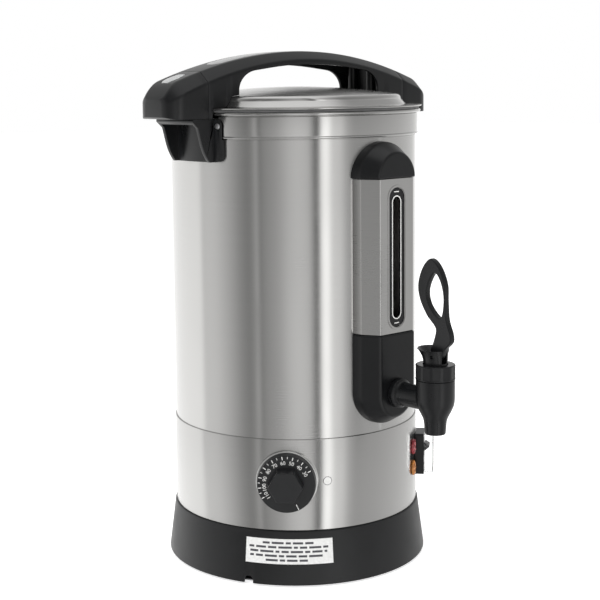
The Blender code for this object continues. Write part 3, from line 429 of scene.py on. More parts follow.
def noise(tree, scale, stretch=(1.0, 1.0, 1.0), detail=3.0, roughness=0.55):
    """Noise over the object's own coordinates, in features per metre along each axis."""
    place = node(tree, "TexCoord").outputs["Object"]
    scaled_place = node(tree, "Mapping", {"Vector": place, "Scale": Vector(stretch) * scale}).outputs[0]
    inputs = {"Vector": scaled_place, "Scale": 1.0, "Detail": detail, "Roughness": roughness}
    return node(tree, "TexNoise", inputs).outputs[0]


def cells(tree, scale):
    """Distance to the middle of a random cell, over the object's own coordinates."""
    place = node(tree, "TexCoord").outputs["Object"]
    return node(tree, "TexVoronoi", {"Vector": place, "Scale": scale}).outputs["Distance"]


def mix(tree, factor, first, second, **settings):
    inputs = {"Factor": factor, "A": first, "B": second}
    return node(tree, "Mix", inputs, data_type="RGBA", **settings).outputs["Result"]


def scaled(colour, share, lift=0.0):
    return tuple(channel * share + lift for channel in colour)


def spread_value(tree, value, lowest, highest, start=0.3, end=0.7):
    inputs = {"Value": value, "From Min": start, "From Max": end, "To Min": lowest, "To Max": highest}
    return node(tree, "MapRange", inputs).outputs[0]


def around(tree, value, middle, reach):
    return spread_value(tree, value, middle - reach, middle + reach)


def tint(tree, factor, first, second):
    ramp = node(tree, "ValToRGB", {"Fac": factor})
    ramp.color_ramp.elements[0].position = 0.3
    ramp.color_ramp.elements[0].color = (*first, 1.0)
    ramp.color_ramp.elements[1].position = 0.7
    ramp.color_ramp.elements[1].color = (*second, 1.0)
    return ramp.outputs["Color"]


def painted_edge_highlight(tree, colour, wear_and_highlight, start=0.53, end=0.62, amount=0.6):
    """Paints a highlight: lightens convex edges a little, where light would catch them."""
    edges = node(tree, "NewGeometry").outputs["Pointiness"]
    return mix(tree, spread_value(tree, edges, 0.0, amount, start, end), colour, (*wear_and_highlight, 1.0))


def finish(tree, shader, base, roughness, relief=None, strength=0.0, depth=0.0):
    """Joins a surface's colour, roughness and fine relief to its shader."""
    tree.links.new(base, shader.inputs["Base Color"])
    tree.links.new(roughness, shader.inputs["Roughness"])
    if relief is not None:
        bump = node(tree, "Bump", {"Height": relief, "Strength": strength, "Distance": depth})
        tree.links.new(bump.outputs["Normal"], shader.inputs["Normal"])


def steel(name, colour, roughness, grain, anisotropy, turned_grain=True, smudge=0.05):
    """Brushed stainless steel. grain is the stretch of the scratches along each axis."""
    tree, shader = start_material(name, Metallic=1.0, Anisotropic=anisotropy, Anisotropic_Rotation=0.25)
    scratches = noise(tree, 1.0, grain, 4.0, 0.65)
    cloud = noise(tree, 22.0, (1.0, 1.0, 0.5), 2.0)
    base = tint(tree, scratches, scaled(colour, 0.965), scaled(colour, 1.03))
    # Painted highlight: convex edges are lightened towards a pale steel colour.
    base = painted_edge_highlight(tree, base, (0.86, 0.86, 0.85), 0.56, 0.66, 0.5)
    fine = spread_value(tree, scratches, -0.02, 0.025)
    broad = around(tree, cloud, roughness, smudge / 2)
    total = node(tree, "Math", {0: fine, 1: broad}, operation="ADD").outputs[0]
    finish(tree, shader, base, total, scratches, 0.05, 0.00001)
    if turned_grain:
        along = node(tree, "Tangent", direction_type="RADIAL", axis="Z")
        tree.links.new(along.outputs[0], shader.inputs["Tangent"])


def plastic(name, colour, roughness, grain=1400.0, grain_depth=0.00004, wear_and_highlight=None):
    """Moulded plastic: a fine spark-eroded grain, cloudy gloss and slightly lighter convex edges, a
    painted highlight.
    """
    tree, shader = start_material(name, Specular_IOR_Level=0.42)
    cloud = noise(tree, 30.0)
    base = tint(tree, cloud, scaled(colour, 0.85), scaled(colour, 1.18))
    # Painted highlight: convex edges are lightened, by default to about twice the colour.
    base = painted_edge_highlight(tree, base, wear_and_highlight or scaled(colour, 2.0, 0.004))
    gloss = spread_value(tree, cloud, roughness - 0.04, roughness + 0.05)
    finish(tree, shader, base, gloss, noise(tree, grain, detail=2.0), 0.18, grain_depth)


def rubber(name, colour, roughness):
    tree, shader = start_material(name, Sheen_Weight=0.15, Sheen_Roughness=0.5)
    cloud = noise(tree, 60.0)
    base = tint(tree, cloud, scaled(colour, 0.8), scaled(colour, 1.25))
    finish(tree, shader, base, around(tree, cloud, roughness, 0.05), noise(tree, 900.0), 0.2, 0.00005)


def plated(name, colour, roughness):
    """Zinc plate: a crystalline spangle over a satin metal."""
    tree, shader = start_material(name, Metallic=1.0)
    base = tint(tree, cells(tree, 260.0), scaled(colour, 0.85), colour)
    sheen = around(tree, noise(tree, 120.0), roughness, 0.08)
    finish(tree, shader, base, sheen, noise(tree, 700.0), 0.15, 0.00005)


def clear(name, colour, roughness, ior):
    tree, shader = start_material(name, Transmission_Weight=1.0, IOR=ior)
    haze = noise(tree, 80.0)
    base = tint(tree, haze, scaled(colour, 0.97), colour)
    finish(tree, shader, base, spread_value(tree, haze, roughness, roughness + 0.05))


def lens(name, colour, deep):
    """A tinted faceted lens over a pale reflector."""
    tree, shader = start_material(name, Coat_Weight=0.6, Coat_Roughness=0.06, Subsurface_Weight=0.15)
    facets = cells(tree, 420.0)
    gloss = spread_value(tree, facets, 0.18, 0.3)
    finish(tree, shader, tint(tree, facets, deep, colour), gloss, facets, 0.5, 0.0004)
    shader.inputs["Subsurface Radius"].default_value = (0.002, 0.001, 0.0005)


def ink(name, colour):
    """Pad-printed ink, a little uneven."""
    tree, shader = start_material(name)
    wear_and_highlight = noise(tree, 500.0)
    base = tint(tree, wear_and_highlight, scaled(colour, 0.86), colour)
    finish(tree, shader, base, spread_value(tree, wear_and_highlight, 0.4, 0.55), wear_and_highlight, 0.1, 0.00002)


STEEL = (0.60, 0.595, 0.585)
EVEN_GRAIN = (700.0, 700.0, 700.0)

steel("brushed_steel", STEEL, 0.23, (10.0, 10.0, 3200.0), 0.9)
steel("cover_steel", STEEL, 0.30, (60.0, 60.0, 1500.0), 0.55, False)
steel("lid_steel", (0.62, 0.615, 0.605), 0.20, (10.0, 10.0, 3000.0), 0.6, True, 0.03)
steel("band_steel", STEEL, 0.20, (10.0, 10.0, 3200.0), 0.85)
steel("bezel_steel", (0.72, 0.72, 0.71), 0.14, EVEN_GRAIN, 0.0, False, 0.03)
steel("trim_silver", (0.62, 0.62, 0.62), 0.28, (25.0, 1500.0, 1500.0), 0.0, False)
plastic("black_plastic", (0.0048, 0.0051, 0.0057), 0.31)
plastic("base_plastic", (0.0105, 0.0108, 0.0116), 0.40, 1100.0)
plastic("tap_plastic", (0.0055, 0.0058, 0.0065), 0.27, 1600.0, 0.00002)
plastic("knob_plastic", (0.010, 0.0104, 0.0114), 0.30, 1600.0, 0.00002)
plastic("scale_plastic", (0.006, 0.006, 0.007), 0.25, 1600.0, 0.00001)
# The last colour is the grey pad's painted edge highlight.
plastic("pad_grey", (0.42, 0.43, 0.43), 0.38, 1200.0, 0.00003, (0.5, 0.5, 0.5))
rubber("silicone", (0.10, 0.10, 0.10), 0.65)
rubber("rubber", (0.018, 0.018, 0.018), 0.8)
plated("zinc_steel", (0.62, 0.62, 0.64), 0.42)
plated("aluminium", (0.72, 0.72, 0.72), 0.5)
clear("clear_glass", (0.95, 0.98, 0.99), 0.0, 1.47)
clear("clear_cap", (0.95, 0.95, 0.95), 0.08, 1.2)
lens("red_lens", (0.36, 0.035, 0.045), (0.14, 0.008, 0.014))
lens("amber_lens", (0.52, 0.20, 0.035), (0.28, 0.085, 0.012))
ink("white_ink", (0.82, 0.82, 0.80))
ink("grey_ink", (0.07, 0.07, 0.08))
ink("label_paper", (0.80, 0.80, 0.79))


def put(thing, body, material, slot, *nodes):
    """Gives a finished piece its material and body, and hides the CAD nodes that it stands for. The record
    slot is not used.
    """
    thing.data.materials.clear()
    thing.data.materials.append(MATERIALS[material])
    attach(thing, body)
    if nodes:
        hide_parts(*nodes)
    return thing


def paint(material, *nodes):
    """Assigns a material to CAD nodes that stay as they are."""
    for name in nodes:
        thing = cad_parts[name]
        thing.data.materials.clear()
        thing.data.materials.append(MATERIALS[material])


# Base --------------------


def base_radius(height):
    """The base's outer wall is a shallow cone."""
    share = (height - BASE_BOTTOM_Z) / (BASE_TOP_Z - BASE_BOTTOM_Z)
    return BASE_BOTTOM_RADIUS + (BASE_TOP_RADIUS - BASE_BOTTOM_RADIUS) * share


def make_base():
    wall = 0.0025
    shelf = 0.100
    profile = rounded(
        [
            (shelf, BASE_TOP_Z),
            (BASE_TOP_RADIUS, BASE_TOP_Z, 0.0012),
            (BASE_BOTTOM_RADIUS, BASE_BOTTOM_Z, 0.0010),
            (BASE_BOTTOM_RADIUS - wall, BASE_BOTTOM_Z),
            (BASE_TOP_RADIUS - wall, BASE_TOP_Z - wall),
            (shelf, BASE_TOP_Z - wall),
        ]
    )
    base = turned("base_skin", profile)
    notch_angle = -62.8
    notch_half_width = 0.004
    outline = [(notch_half_width, -0.01)] + arc((0.0, 0.004), notch_half_width, 0.0, 180.0, 16)
    outline.append((-notch_half_width, -0.01))
    cut(base, outline, 0.105, 0.130, radial_frame(notch_angle, 0.0))
    bevel(base, 0.0004, 2, 40.0)
    put(smooth(base, 35.0), "kettle", "base_plastic", "black_plastic", "base_shell")


def curved_patch(name, angles, heights, lift, thickness, steps, rows):
    """A thin patch on the base's wall, between two angles and two heights."""
    levels = spread(*heights, rows)
    section = [(base_radius(z) + lift, z) for z in levels]
    section += [(base_radius(z) + lift + thickness, z) for z in levels[::-1]]
    turns = [radians(angle) for angle in spread(*angles, steps)]
    return loft(name, [[(r * sin(t), -r * cos(t), z) for r, z in section] for t in turns])


def make_label():
    """A plain white sticker with five rows of grey dashes in place of words."""
    left, right, bottom, top = -64.4, -26.4, 0.0200, 0.0414
    paper = curved_patch("base_label", (left, right), (bottom, top), 0.00003, 0.00012, 60, 4)
    put(smooth(paper, 40.0), "kettle", "label_paper", "black_plastic")
    rows = ((7.5, 30.5), (1.5, 36.5), (2.0, 35.5), (2.0, 34.5), (9.0, 27.0))
    words = (3.1, 5.2, 2.2, 4.4, 3.6, 5.8, 1.7)
    first_row, row_pitch, half_height, space = 0.0034, 0.0037, 0.0009, 0.9
    dashes = []
    for row, (at, end) in enumerate(rows):
        middle = top - first_row - row * row_pitch
        heights = (middle - half_height, middle + half_height)
        count = row * 2
        while at < end - 1.0:
            stop = min(at + words[count % len(words)], end)
            dashes.append(curved_patch("dash", (left + at, left + stop), heights, 0.00016, 0.00004, 6, 1))
            at = stop + space
            count += 1
    put(merge("base_label_lines", dashes), "kettle", "grey_ink", "black_plastic")


# Steel body --------------------


def make_control_shell():
    inner = CONTROL_RADIUS - SHEET
    profile = rounded(
        [
            (inner, CONTROL_TOP_Z),
            (CONTROL_RADIUS, CONTROL_TOP_Z, 0.00055),
            (CONTROL_RADIUS, CONTROL_BOTTOM_Z, 0.0005),
            (CONTROL_RADIUS - 0.006, CONTROL_BOTTOM_Z),
            (CONTROL_RADIUS - 0.006, CONTROL_BOTTOM_Z + SHEET),
            (inner, CONTROL_BOTTOM_Z + SHEET),
        ],
        steps=4,
    )
    shell = turned("control_shell_skin", profile)
    drill(shell, 0.005, *WALL_DEPTHS, radial_frame(DIAL_ANGLE, DIAL_Z))
    switch_hole = rounded_rectangle(0.0086, 0.0146, 0.001)
    cut(shell, switch_hole, *WALL_DEPTHS, radial_frame(SWITCH_ANGLE, SWITCH_Z))
    inlet_hole = rounded_rectangle(0.0140, 0.0110, 0.001)
    cut(shell, inlet_hole, *WALL_DEPTHS, radial_frame(180.0, INLET_Z))
    for lamp in ("power_lamp", "ready_lamp"):
        height = (low(lamp).z + high(lamp).z) / 2
        outline = stadium(0.0034, -0.0058, 0.0058)
        cut(shell, outline, *WALL_DEPTHS, radial_frame(LAMP_ANGLE, height))
    put(smooth(shell), "kettle", "brushed_steel", "brushed_steel", "control_shell")


def make_tank():
    corner = 0.006
    roll = 0.00138
    inner = TANK_RADIUS - SHEET
    centre = (TANK_RADIUS - corner, TANK_FLOOR_Z + corner)
    roll_centre = (RIM_RADIUS - roll, RIM_TOP_Z - roll)
    profile = [(0.0, TANK_FLOOR_Z + SHEET)]
    profile += arc(centre, corner - SHEET, -90.0, 0.0, 8)
    mouth = [(inner, RIM_TOP_Z - 0.004), (inner, RIM_TOP_Z, 0.0010), (roll_centre[0], RIM_TOP_Z)]
    profile += rounded(mouth, False)[1:]
    profile += arc(roll_centre, roll, 90.0, -90.0, 14)[1:]
    profile += [(TANK_RADIUS, RIM_TOP_Z - 2 * roll)]
    seam, seam_depth = 0.0008, 0.0006
    groove = TANK_RADIUS - seam_depth
    profile += [(TANK_RADIUS, BAND_BOTTOM_Z), (groove, BAND_BOTTOM_Z - 0.0001)]
    profile += [(groove, BAND_BOTTOM_Z - seam), (TANK_RADIUS, BAND_BOTTOM_Z - seam - 0.0001)]
    profile += arc(centre, corner, 0.0, -90.0, 8)
    profile += [(0.0, TANK_FLOOR_Z)]
    tank = turned("tank_skin", profile)
    drill(tank, TAP_HOLE_RADIUS, *WALL_DEPTHS, forward_at(TAP_Z))
    put(smooth(tank), "kettle", "brushed_steel", "brushed_steel", "tank")

    bead_z = BAND_BOTTOM_Z + 0.0011
    profile = [(TANK_RADIUS + GAP / 2, BAND_TOP_Z)]
    shoulder = [(TANK_RADIUS, BAND_TOP_Z), (BAND_RADIUS, BAND_TOP_Z, 0.0006), (BAND_RADIUS, BAND_BOTTOM_Z)]
    profile += rounded(shoulder, False)[1:-1]
    profile += [(BAND_RADIUS, BAND_BOTTOM_Z + 0.0030)]
    profile += arc((BAND_RADIUS - 0.0005, bead_z), 0.0011, 70.0, -90.0, 12)
    profile += [(TANK_RADIUS + GAP / 2, BAND_BOTTOM_Z)]
    band = turned("rim_band_skin", profile)
    put(smooth(band), "kettle", "band_steel", "brushed_steel", "rim_band")


# Lid and its handle --------------------


def lid_surface(radius):
    """Height of the lid's shallow dome at a distance from the axis."""
    edge = LID_WALL_RADIUS - LID_FILLET
    return LID_CROWN_Z - (LID_CROWN_Z - LID_EDGE_Z) * (radius / edge) ** 2


def lid_top(offset=0.0, fillet_steps=12, dome_steps=22):
    """The lid's outer side from the brim's edge up the wall to the crown, raised by the offset."""
    centre = (LID_WALL_RADIUS - LID_FILLET, LID_EDGE_Z - LID_FILLET)
    edge = LID_WALL_RADIUS - LID_FILLET
    dome = [(radius, lid_surface(radius) + offset) for radius in spread(edge - 0.003, 0.0, dome_steps)]
    foot = rounded(
        [
            (BRIM_RADIUS + offset, BRIM_TOP_Z + offset),
            (LID_FOOT_RADIUS + offset, BRIM_TOP_Z + offset + 0.0004, 0.0018),
            (LID_WALL_RADIUS + offset, LID_EDGE_Z - LID_FILLET),
        ],
        False,
    )
    return foot + arc(centre, LID_FILLET + offset, 4.0, 84.0, fillet_steps) + dome


def make_lid():
    profile = lid_top()[::-1]
    profile += arc((BRIM_RADIUS - 0.0006, (BRIM_TOP_Z + BRIM_BOTTOM_Z) / 2), 0.00068, 70.0, -90.0, 8)
    profile += [
        (LID_FOOT_RADIUS - LID_SHEET, BRIM_BOTTOM_Z),
        (LID_WALL_RADIUS - LID_SHEET, LID_EDGE_Z - LID_FILLET),
        (LID_WALL_RADIUS - LID_FILLET - 0.0006, LID_EDGE_Z - LID_SHEET),
    ]
    profile += [(radius, lid_surface(radius) - LID_SHEET) for radius in spread(0.080, 0.0, 10)]
    lid = turned("lid_skin", profile)
    put(smooth(lid), "lid", "lid_steel", "polished_steel", "lid_pan")


def nose_share(x):
    """From 0 where the handle's rounded end starts to 1 at its tip."""
    return max(abs(x) - (ARCH_END_X - ARCH_CORNER_RADIUS), 0.0) / ARCH_CORNER_RADIUS


def arch_top(x):
    return ARCH_CROWN_Z - x * x / (2 * ARCH_CROWN_RADIUS) - 0.0095 * nose_share(x) ** 2


def arch_shoulder(x):
    return ARCH_SHOULDER_Z - x * x / (2 * ARCH_SHOULDER_RADIUS)


def arch_half_width(x):
    past = abs(x) - (ARCH_END_X - ARCH_CORNER_RADIUS)
    if past <= 0.0:
        return ARCH_HALF_WIDTH
    return ARCH_HALF_WIDTH - ARCH_CORNER_RADIUS + sqrt(max(ARCH_CORNER_RADIUS**2 - past**2, 0.0))


def arch_section(x, bottom, fine=True, inset=0.0, roof=0.0):
    """The arch's outline across its length: upright sides, sloping shoulders and a flat crown."""
    half = arch_half_width(x) - inset
    flat = min(ARCH_FLAT_HALF_WIDTH, half - 0.002) - inset * 0.3
    shoulder = arch_shoulder(x) - roof - 0.0025 * nose_share(x) ** 2
    top = max(arch_top(x) - roof, shoulder + 0.0004)
    fillet = 0.0045 if fine else 0.0
    side = [(-half, bottom + 0.0022 * nose_share(x) ** 4), (-half, shoulder, fillet), (-flat, top, fillet)]
    corners = side + [(-y, z, fillet) for y, z, *_ in side[:0:-1]] + [(half, side[0][1])]
    return [(x, y, z) for y, z in rounded(corners, False, 6)]


def arch_window():
    corner_x, corner_z = 0.022, 0.0175
    below = 0.38
    inner_x = ARCH_LEG_X - corner_x
    inner_z = ARCH_UNDERSIDE_Z - inner_x**2 / (2 * ARCH_CROWN_RADIUS)
    right = arc((inner_x, inner_z - corner_z), corner_x, 0.0, 80.0, 18, corner_z)
    stations = spread(inner_x * 0.8, -inner_x * 0.8, 18)
    crown = [(x, ARCH_UNDERSIDE_Z - x * x / (2 * ARCH_CROWN_RADIUS)) for x in stations]
    left = [(-x, z) for x, z in right[::-1]]
    return [(ARCH_LEG_X, below)] + right + crown + left + [(-ARCH_LEG_X, below)]


def crown_strip(name, start, end, half_width, bottom, top, steps=40):
    """A strip that follows the arch's crown line, with its upper edges rounded."""
    sections = []
    for x in spread(start, end, steps):
        half = half_width(x)
        crown = arch_top(x)
        corners = [(-half, bottom), (-half, top, 0.0006), (half, top, 0.0006), (half, bottom)]
        sections.append([(x, y, crown + z) for y, z in rounded(corners, False, 3)])
    return loft(name, sections)


def inlay_half_width(grow):
    def width(x):
        past = max(abs(x) - (INLAY_HALF_LENGTH - 0.008), 0.0)
        return 0.0100 + grow - 0.0045 * (past / 0.008) ** 2

    return width


def pad_half_width(grow):
    middle = (PAD_START_X + PAD_END_X) / 2
    length = abs(PAD_END_X - PAD_START_X) / 2

    def width(x):
        along = (x - middle) / (length + 0.001)
        return 0.0022 + grow + 0.0052 * sqrt(max(1.0 - along * along, 0.0))

    return width


def lid_seat():
    """A solid under the lid's outer side, which shapes what sits on the lid."""
    profile = lid_top(GAP, 6, 10)[::-1] + [(BRIM_RADIUS + GAP, 0.39), (0.0, 0.39)]
    return turned("cutter", profile, 96)


def hollow(body, span):
    sections = [arch_section(x, ARCH_BOTTOM_Z - 0.02, False, ARCH_WALL, ARCH_WALL) for x in span]
    combine(body, loft("cutter", sections))


def make_lid_handle():
    rib_inner, rib_outer = 0.0920, 0.0955
    split = ARCH_SPLIT_X
    arch = loft("lid_handle_skin", [arch_section(x, ARCH_BOTTOM_Z) for x in spread(-split, split, 96)])
    hollow(arch, spread(-rib_inner, rib_inner, 24))
    hollow(arch, spread(rib_outer, split - ARCH_WALL, 2))
    hollow(arch, spread(ARCH_WALL - split, -rib_outer, 2))
    boss_x, boss_y, boss_radius, boss_bottom = 0.0885, 0.012, 0.0042, 0.412
    for x in (-boss_x, boss_x):
        for y in (-boss_y, boss_y):
            place = Matrix.Translation((x, y, 0.0))
            boss = rod("boss", boss_radius, boss_bottom, arch_top(x) - 0.0015, place, 24)
            combine(arch, boss, "UNION")
    cut(arch, arch_window(), -0.04, 0.04, FORWARD)
    combine(arch, lid_seat())
    recess_end = INLAY_HALF_LENGTH + GAP
    recess = crown_strip("cutter", -recess_end, recess_end, inlay_half_width(GAP), RECESS_DEPTH, 0.005)
    combine(arch, recess)
    bevel(arch, 0.0007, 2, 42.0)
    put(smooth(arch, 38.0), "lid", "black_plastic", "black_plastic", "lid_handle_arch")

    for side, part in ((-1.0, "left"), (1.0, "right")):
        turns = [radians(angle) for angle in range(0, 90, 6)] + [radians(88)]
        tips = [ARCH_END_X - ARCH_CORNER_RADIUS * (1 - sin(turn)) for turn in turns]
        stations = [split + GAP, 0.125, 0.133] + tips
        block = loft(f"handle_end_{part}_skin", [arch_section(side * x, ARCH_BOTTOM_Z) for x in stations])
        span = spread(side * (split + ARCH_WALL + GAP), side * (ARCH_END_X - 0.0165), 2)
        hollow(block, span)
        combine(block, lid_seat())
        if side < 0:
            recess_ends = (PAD_START_X - GAP, PAD_END_X + GAP)
            combine(block, crown_strip("cutter", *recess_ends, pad_half_width(GAP), RECESS_DEPTH, 0.005))
        bevel(block, 0.0007, 2, 42.0)
        put(smooth(block, 38.0), "lid", "black_plastic", "black_plastic", f"lid_handle_end_{part}")
    inlay_ends = (-INLAY_HALF_LENGTH, INLAY_HALF_LENGTH)
    inlay = crown_strip("handle_inlay_skin", *inlay_ends, inlay_half_width(0.0), -0.0010, 0.0002, 60)
    put(smooth(inlay), "lid", "trim_silver", "silver_trim", "handle_inlay")
    pad = crown_strip("handle_pad_skin", PAD_START_X, PAD_END_X, pad_half_width(0.0), -0.0010, 0.0003)
    put(smooth(pad), "lid", "pad_grey", "pad_grey", "handle_pad")


# Carrying handles --------------------


def gusset_outline():
    """The side of a carrying handle, out from the wall: a shelf on top and a hollow curve below it."""
    pulls = ((0.1297, 0.3950), (0.1268, 0.3880), (0.1262, 0.3750), (0.1176, GRIP_BOTTOM_Z))
    curve = []
    for t in spread(0.0, 1.0, 14):
        shares = ((1 - t) ** 3, 3 * t * (1 - t) ** 2, 3 * t * t * (1 - t), t**3)
        curve.append(tuple(sum(share * pull[i] for share, pull in zip(shares, pulls)) for i in (0, 1)))
    shelf_bottom, inner = 0.4000, 0.1100
    shelf = [(inner, GRIP_TOP_Z), (GRIP_REACH, GRIP_TOP_Z, 0.0010), (GRIP_REACH, shelf_bottom, 0.0012)]
    return rounded(shelf + curve[:1], False)[1:-1] + curve + [(inner, GRIP_BOTTOM_Z), (inner, GRIP_TOP_Z)]


def make_carrying_handles():
    wall = 0.0035
    plate_radius = 0.1162
    middle_z = (GRIP_TOP_Z + GRIP_BOTTOM_Z) / 2
    half_height = (GRIP_TOP_Z - GRIP_BOTTOM_Z) / 2
    for side, part in ((-1.0, "left"), (1.0, "right")):
        turn = Matrix.Identity(4) if side > 0 else Matrix.Rotation(pi, 4, "Z")
        name = f"carrying_handle_{part}_skin"
        body = prism(name, gusset_outline(), -GRIP_HALF_WIDTH, GRIP_HALF_WIDTH, turn @ FORWARD)
        scoop_low = (plate_radius - 0.001, wall - GRIP_HALF_WIDTH, GRIP_BOTTOM_Z - 0.01)
        scoop_high = (0.16, GRIP_HALF_WIDTH - wall, GRIP_TOP_Z - 0.0045)
        combine(body, slab("cutter", scoop_low, scoop_high, turn))
        outline = rounded_rectangle(GRIP_PLATE_HALF_WIDTH, half_height, 0.005)
        plate = prism("plate", outline, 0.100, 0.125, radial_frame(90.0 * side, middle_z))
        combine(plate, rod("wall", plate_radius, 0.35, 0.42, None, ROUND_STEPS), "INTERSECT")
        combine(body, plate, "UNION")
        trim(body, TANK_RADIUS + GAP, 0.35, BAND_BOTTOM_Z - GAP)
        trim(body, BAND_BEAD_RADIUS + GAP, BAND_BOTTOM_Z - 2 * GAP, 0.42)
        for offset in (-14.8, 14.8):
            place = radial_frame(90.0 * side + offset, GRIP_TOP_Z - 0.0062)
            drill(body, 0.0016, *WALL_DEPTHS, place, 24)
        bevel(body, 0.0008, 3, 38.0)
        put(smooth(body, 38.0), "kettle", "black_plastic", "black_plastic", f"carrying_handle_{part}")


# Level gauge --------------------


def half_plan(extra):
    """Half width and depth of the housing from its back to its face."""
    return [
        (HOUSING_HALF_WIDTH + extra, 0.1000),
        (HOUSING_HALF_WIDTH + extra - 0.0010, HOUSING_SHOULDER + extra / 2),
        (HOUSING_FACE_HALF_WIDTH + extra, HOUSING_FRONT + min(extra, 0.0008)),
    ]


def half_round_shell(name, stations, centre_z, flat_z):
    up = 1.0 if flat_z <= centre_z else -1.0
    sections = []
    for radius, depth in stations:
        dome = arc((0.0, centre_z), radius, 0.0, 180.0 * up, 40)
        outline = [(radius, flat_z)] + dome + [(-radius, flat_z)]
        if abs(flat_z - centre_z) < 1e-6:
            outline = dome
        sections.append([(x, -depth, z) for x, z in outline])
    return loft(name, sections)


def black_housing(name, extra, centre_z, flat_z, open_z, round_over):
    wall = 0.0020
    piece = half_round_shell(name, half_plan(extra), centre_z, flat_z)
    bevel(piece, round_over, 5, 24.0)
    inside = [(half - wall, depth) for half, depth in half_plan(extra)]
    inside[0] = (inside[0][0], 0.09)
    inside[1] = (inside[1][0], inside[1][1] - wall / 2)
    inside[2] = (inside[2][0] + wall / 2, inside[2][1] - wall)
    combine(piece, half_round_shell("cutter", inside, centre_z, open_z))
    trim(piece, TANK_RADIUS + GAP, *HOUSING_HEIGHTS)
    return piece


def slot_outline(grow, steps=24):
    return stadium(SLOT_HALF_WIDTH + grow, SLOT_BOTTOM_Z - grow, SLOT_TOP_Z + grow, steps)


def window_outline(half_width, inset):
    """The sight tube's window, which stops short of both ends of the slot."""
    return stadium(half_width, SLOT_BOTTOM_Z + inset, SLOT_TOP_Z - inset)


def make_level_housing():
    cap_flat = COVER_TOP_Z + GAP
    foot_flat = COVER_BOTTOM_Z - GAP
    cap = black_housing("gauge_cap_skin", 0.0018, cap_flat, cap_flat, cap_flat - 0.01, 0.0028)
    put(weighted(cap), "kettle", "black_plastic", "black_plastic", "gauge_cap")
    foot = black_housing("gauge_foot_skin", 0.0008, TAP_Z, foot_flat, foot_flat + 0.01, 0.0022)
    drill(foot, TAP_HOLE_RADIUS, 0.125, 0.14, forward_at(TAP_Z))
    put(weighted(foot), "kettle", "black_plastic", "black_plastic", "gauge_foot")

    outer = [(half, -depth) for half, depth in half_plan(0.0)]
    fillets = (0.0, 0.0016, 0.0013)
    right = [(x, y, fillet) for (x, y), fillet in zip(outer, fillets)]
    left = [(-x, y, fillet) for x, y, fillet in right[::-1]]
    inner = [(half - SHEET, -depth + SHEET * 0.8) for half, depth in half_plan(0.0)]
    inner[0] = (inner[0][0], -0.1)
    outline = rounded(right + left, False, 6) + [(-x, y) for x, y in inner] + inner[::-1]
    cover = prism("gauge_cover_skin", outline, COVER_BOTTOM_Z, COVER_TOP_Z)
    trim(cover, TANK_RADIUS + GAP, *HOUSING_HEIGHTS)
    cut(cover, slot_outline(0.0), *FACE_DEPTHS, FORWARD)
    rim = prism("rim", slot_outline(0.0022), HOUSING_FRONT - GAP, HOUSING_FRONT + 0.00055, FORWARD)
    cut(rim, slot_outline(0.0005), HOUSING_FRONT - 0.002, HOUSING_FRONT + 0.002, FORWARD)
    combine(cover, rim, "UNION")
    bevel(cover, 0.00022, 2, 42.0)
    put(weighted(cover, 35.0), "kettle", "cover_steel", "brushed_steel", "gauge_cover")

    face = HOUSING_FRONT - 0.0005
    scale = prism("level_scale_skin", slot_outline(-0.0004, 16), HOUSING_FRONT - 0.0022, face, FORWARD)
    cut(scale, window_outline(0.0046, 0.0078), *FACE_DEPTHS, FORWARD)
    bevel(scale, 0.0002, 2, 40.0)
    put(weighted(scale), "kettle", "scale_plastic", "black_plastic", "level_scale")
    outline = window_outline(0.0056, 0.0068)
    ring = prism("level_scale_outline", outline, face - 0.0003, face + 0.00015, FORWARD)
    cut(ring, window_outline(0.0047, 0.0077), *FACE_DEPTHS, FORWARD)
    put(smooth(ring), "kettle", "white_ink", "black_plastic")
    marks = []
    for height in (SLOT_BOTTOM_Z + 0.0036, SLOT_TOP_Z - 0.0036):
        lower = (-0.0028, height - 0.0004, face - 0.0001)
        upper = (0.0028, height + 0.0004, face + 0.00008)
        marks.append(slab("mark", lower, upper, FORWARD))
    put(merge("level_marks", marks), "kettle", "white_ink", "black_plastic")


# Tap --------------------


def make_tap_body():
    spigot = 0.0138
    shoulder = COLLAR_BOTTOM_Z - GAP
    body_radius = TAP_RADIUS - 0.0003
    taper = [(body_radius, 0.1690), (0.0162, 0.1660), (0.0157, 0.1630), (0.0147, 0.1605), (0.0136, 0.1580)]
    taper += [(0.0122, 0.1553), (0.0110, 0.1530), (0.0102, 0.1510), (0.0097, 0.1490), (0.0094, 0.1465)]
    top = 0.1915
    upper = [(0.0, top), (spigot, top), (spigot, shoulder), (body_radius, shoulder, 0.0006), taper[0]]
    profile = rounded(upper, False)[:-1] + taper
    profile += rounded([taper[-1], (0.0088, TAP_BOTTOM_Z, 0.0012), (0.0, TAP_BOTTOM_Z)], False)[1:]
    body = turned("tap_body_skin", profile, SMALL_STEPS, COLUMN)
    flange_back = HOUSING_FRONT + 0.0008 + GAP
    arm_front, arm_radius, flange_radius = 0.1680, 0.0100, 0.0126
    shank_back, shank_radius = 0.0960, 0.0092
    arm = [(0.0, arm_front), (arm_radius, arm_front), (arm_radius, 0.1415)]
    arm += [(0.0101, 0.1400), (0.0104, 0.1388)]
    flange = [(0.0110, 0.1378), (flange_radius, 0.1366, 0.0012), (flange_radius, flange_back, 0.0005)]
    arm += rounded(flange + [(shank_radius, flange_back)], False)
    arm += [(shank_radius, shank_back), (0.0, shank_back)]
    combine(body, turned("arm", arm, SMALL_STEPS, forward_at(TAP_Z)), "UNION")
    drill(body, 0.0115, 0.1600, 0.20, COLUMN)
    drill(body, 0.0060, 0.13, 0.17, COLUMN)
    drill(body, 0.0052, 0.09, 0.1700, forward_at(TAP_Z + 0.0004))
    bevel(body, 0.0007, 3, 50.0)
    put(smooth(body, 40.0), "kettle", "tap_plastic", "black_plastic", "tap_body")


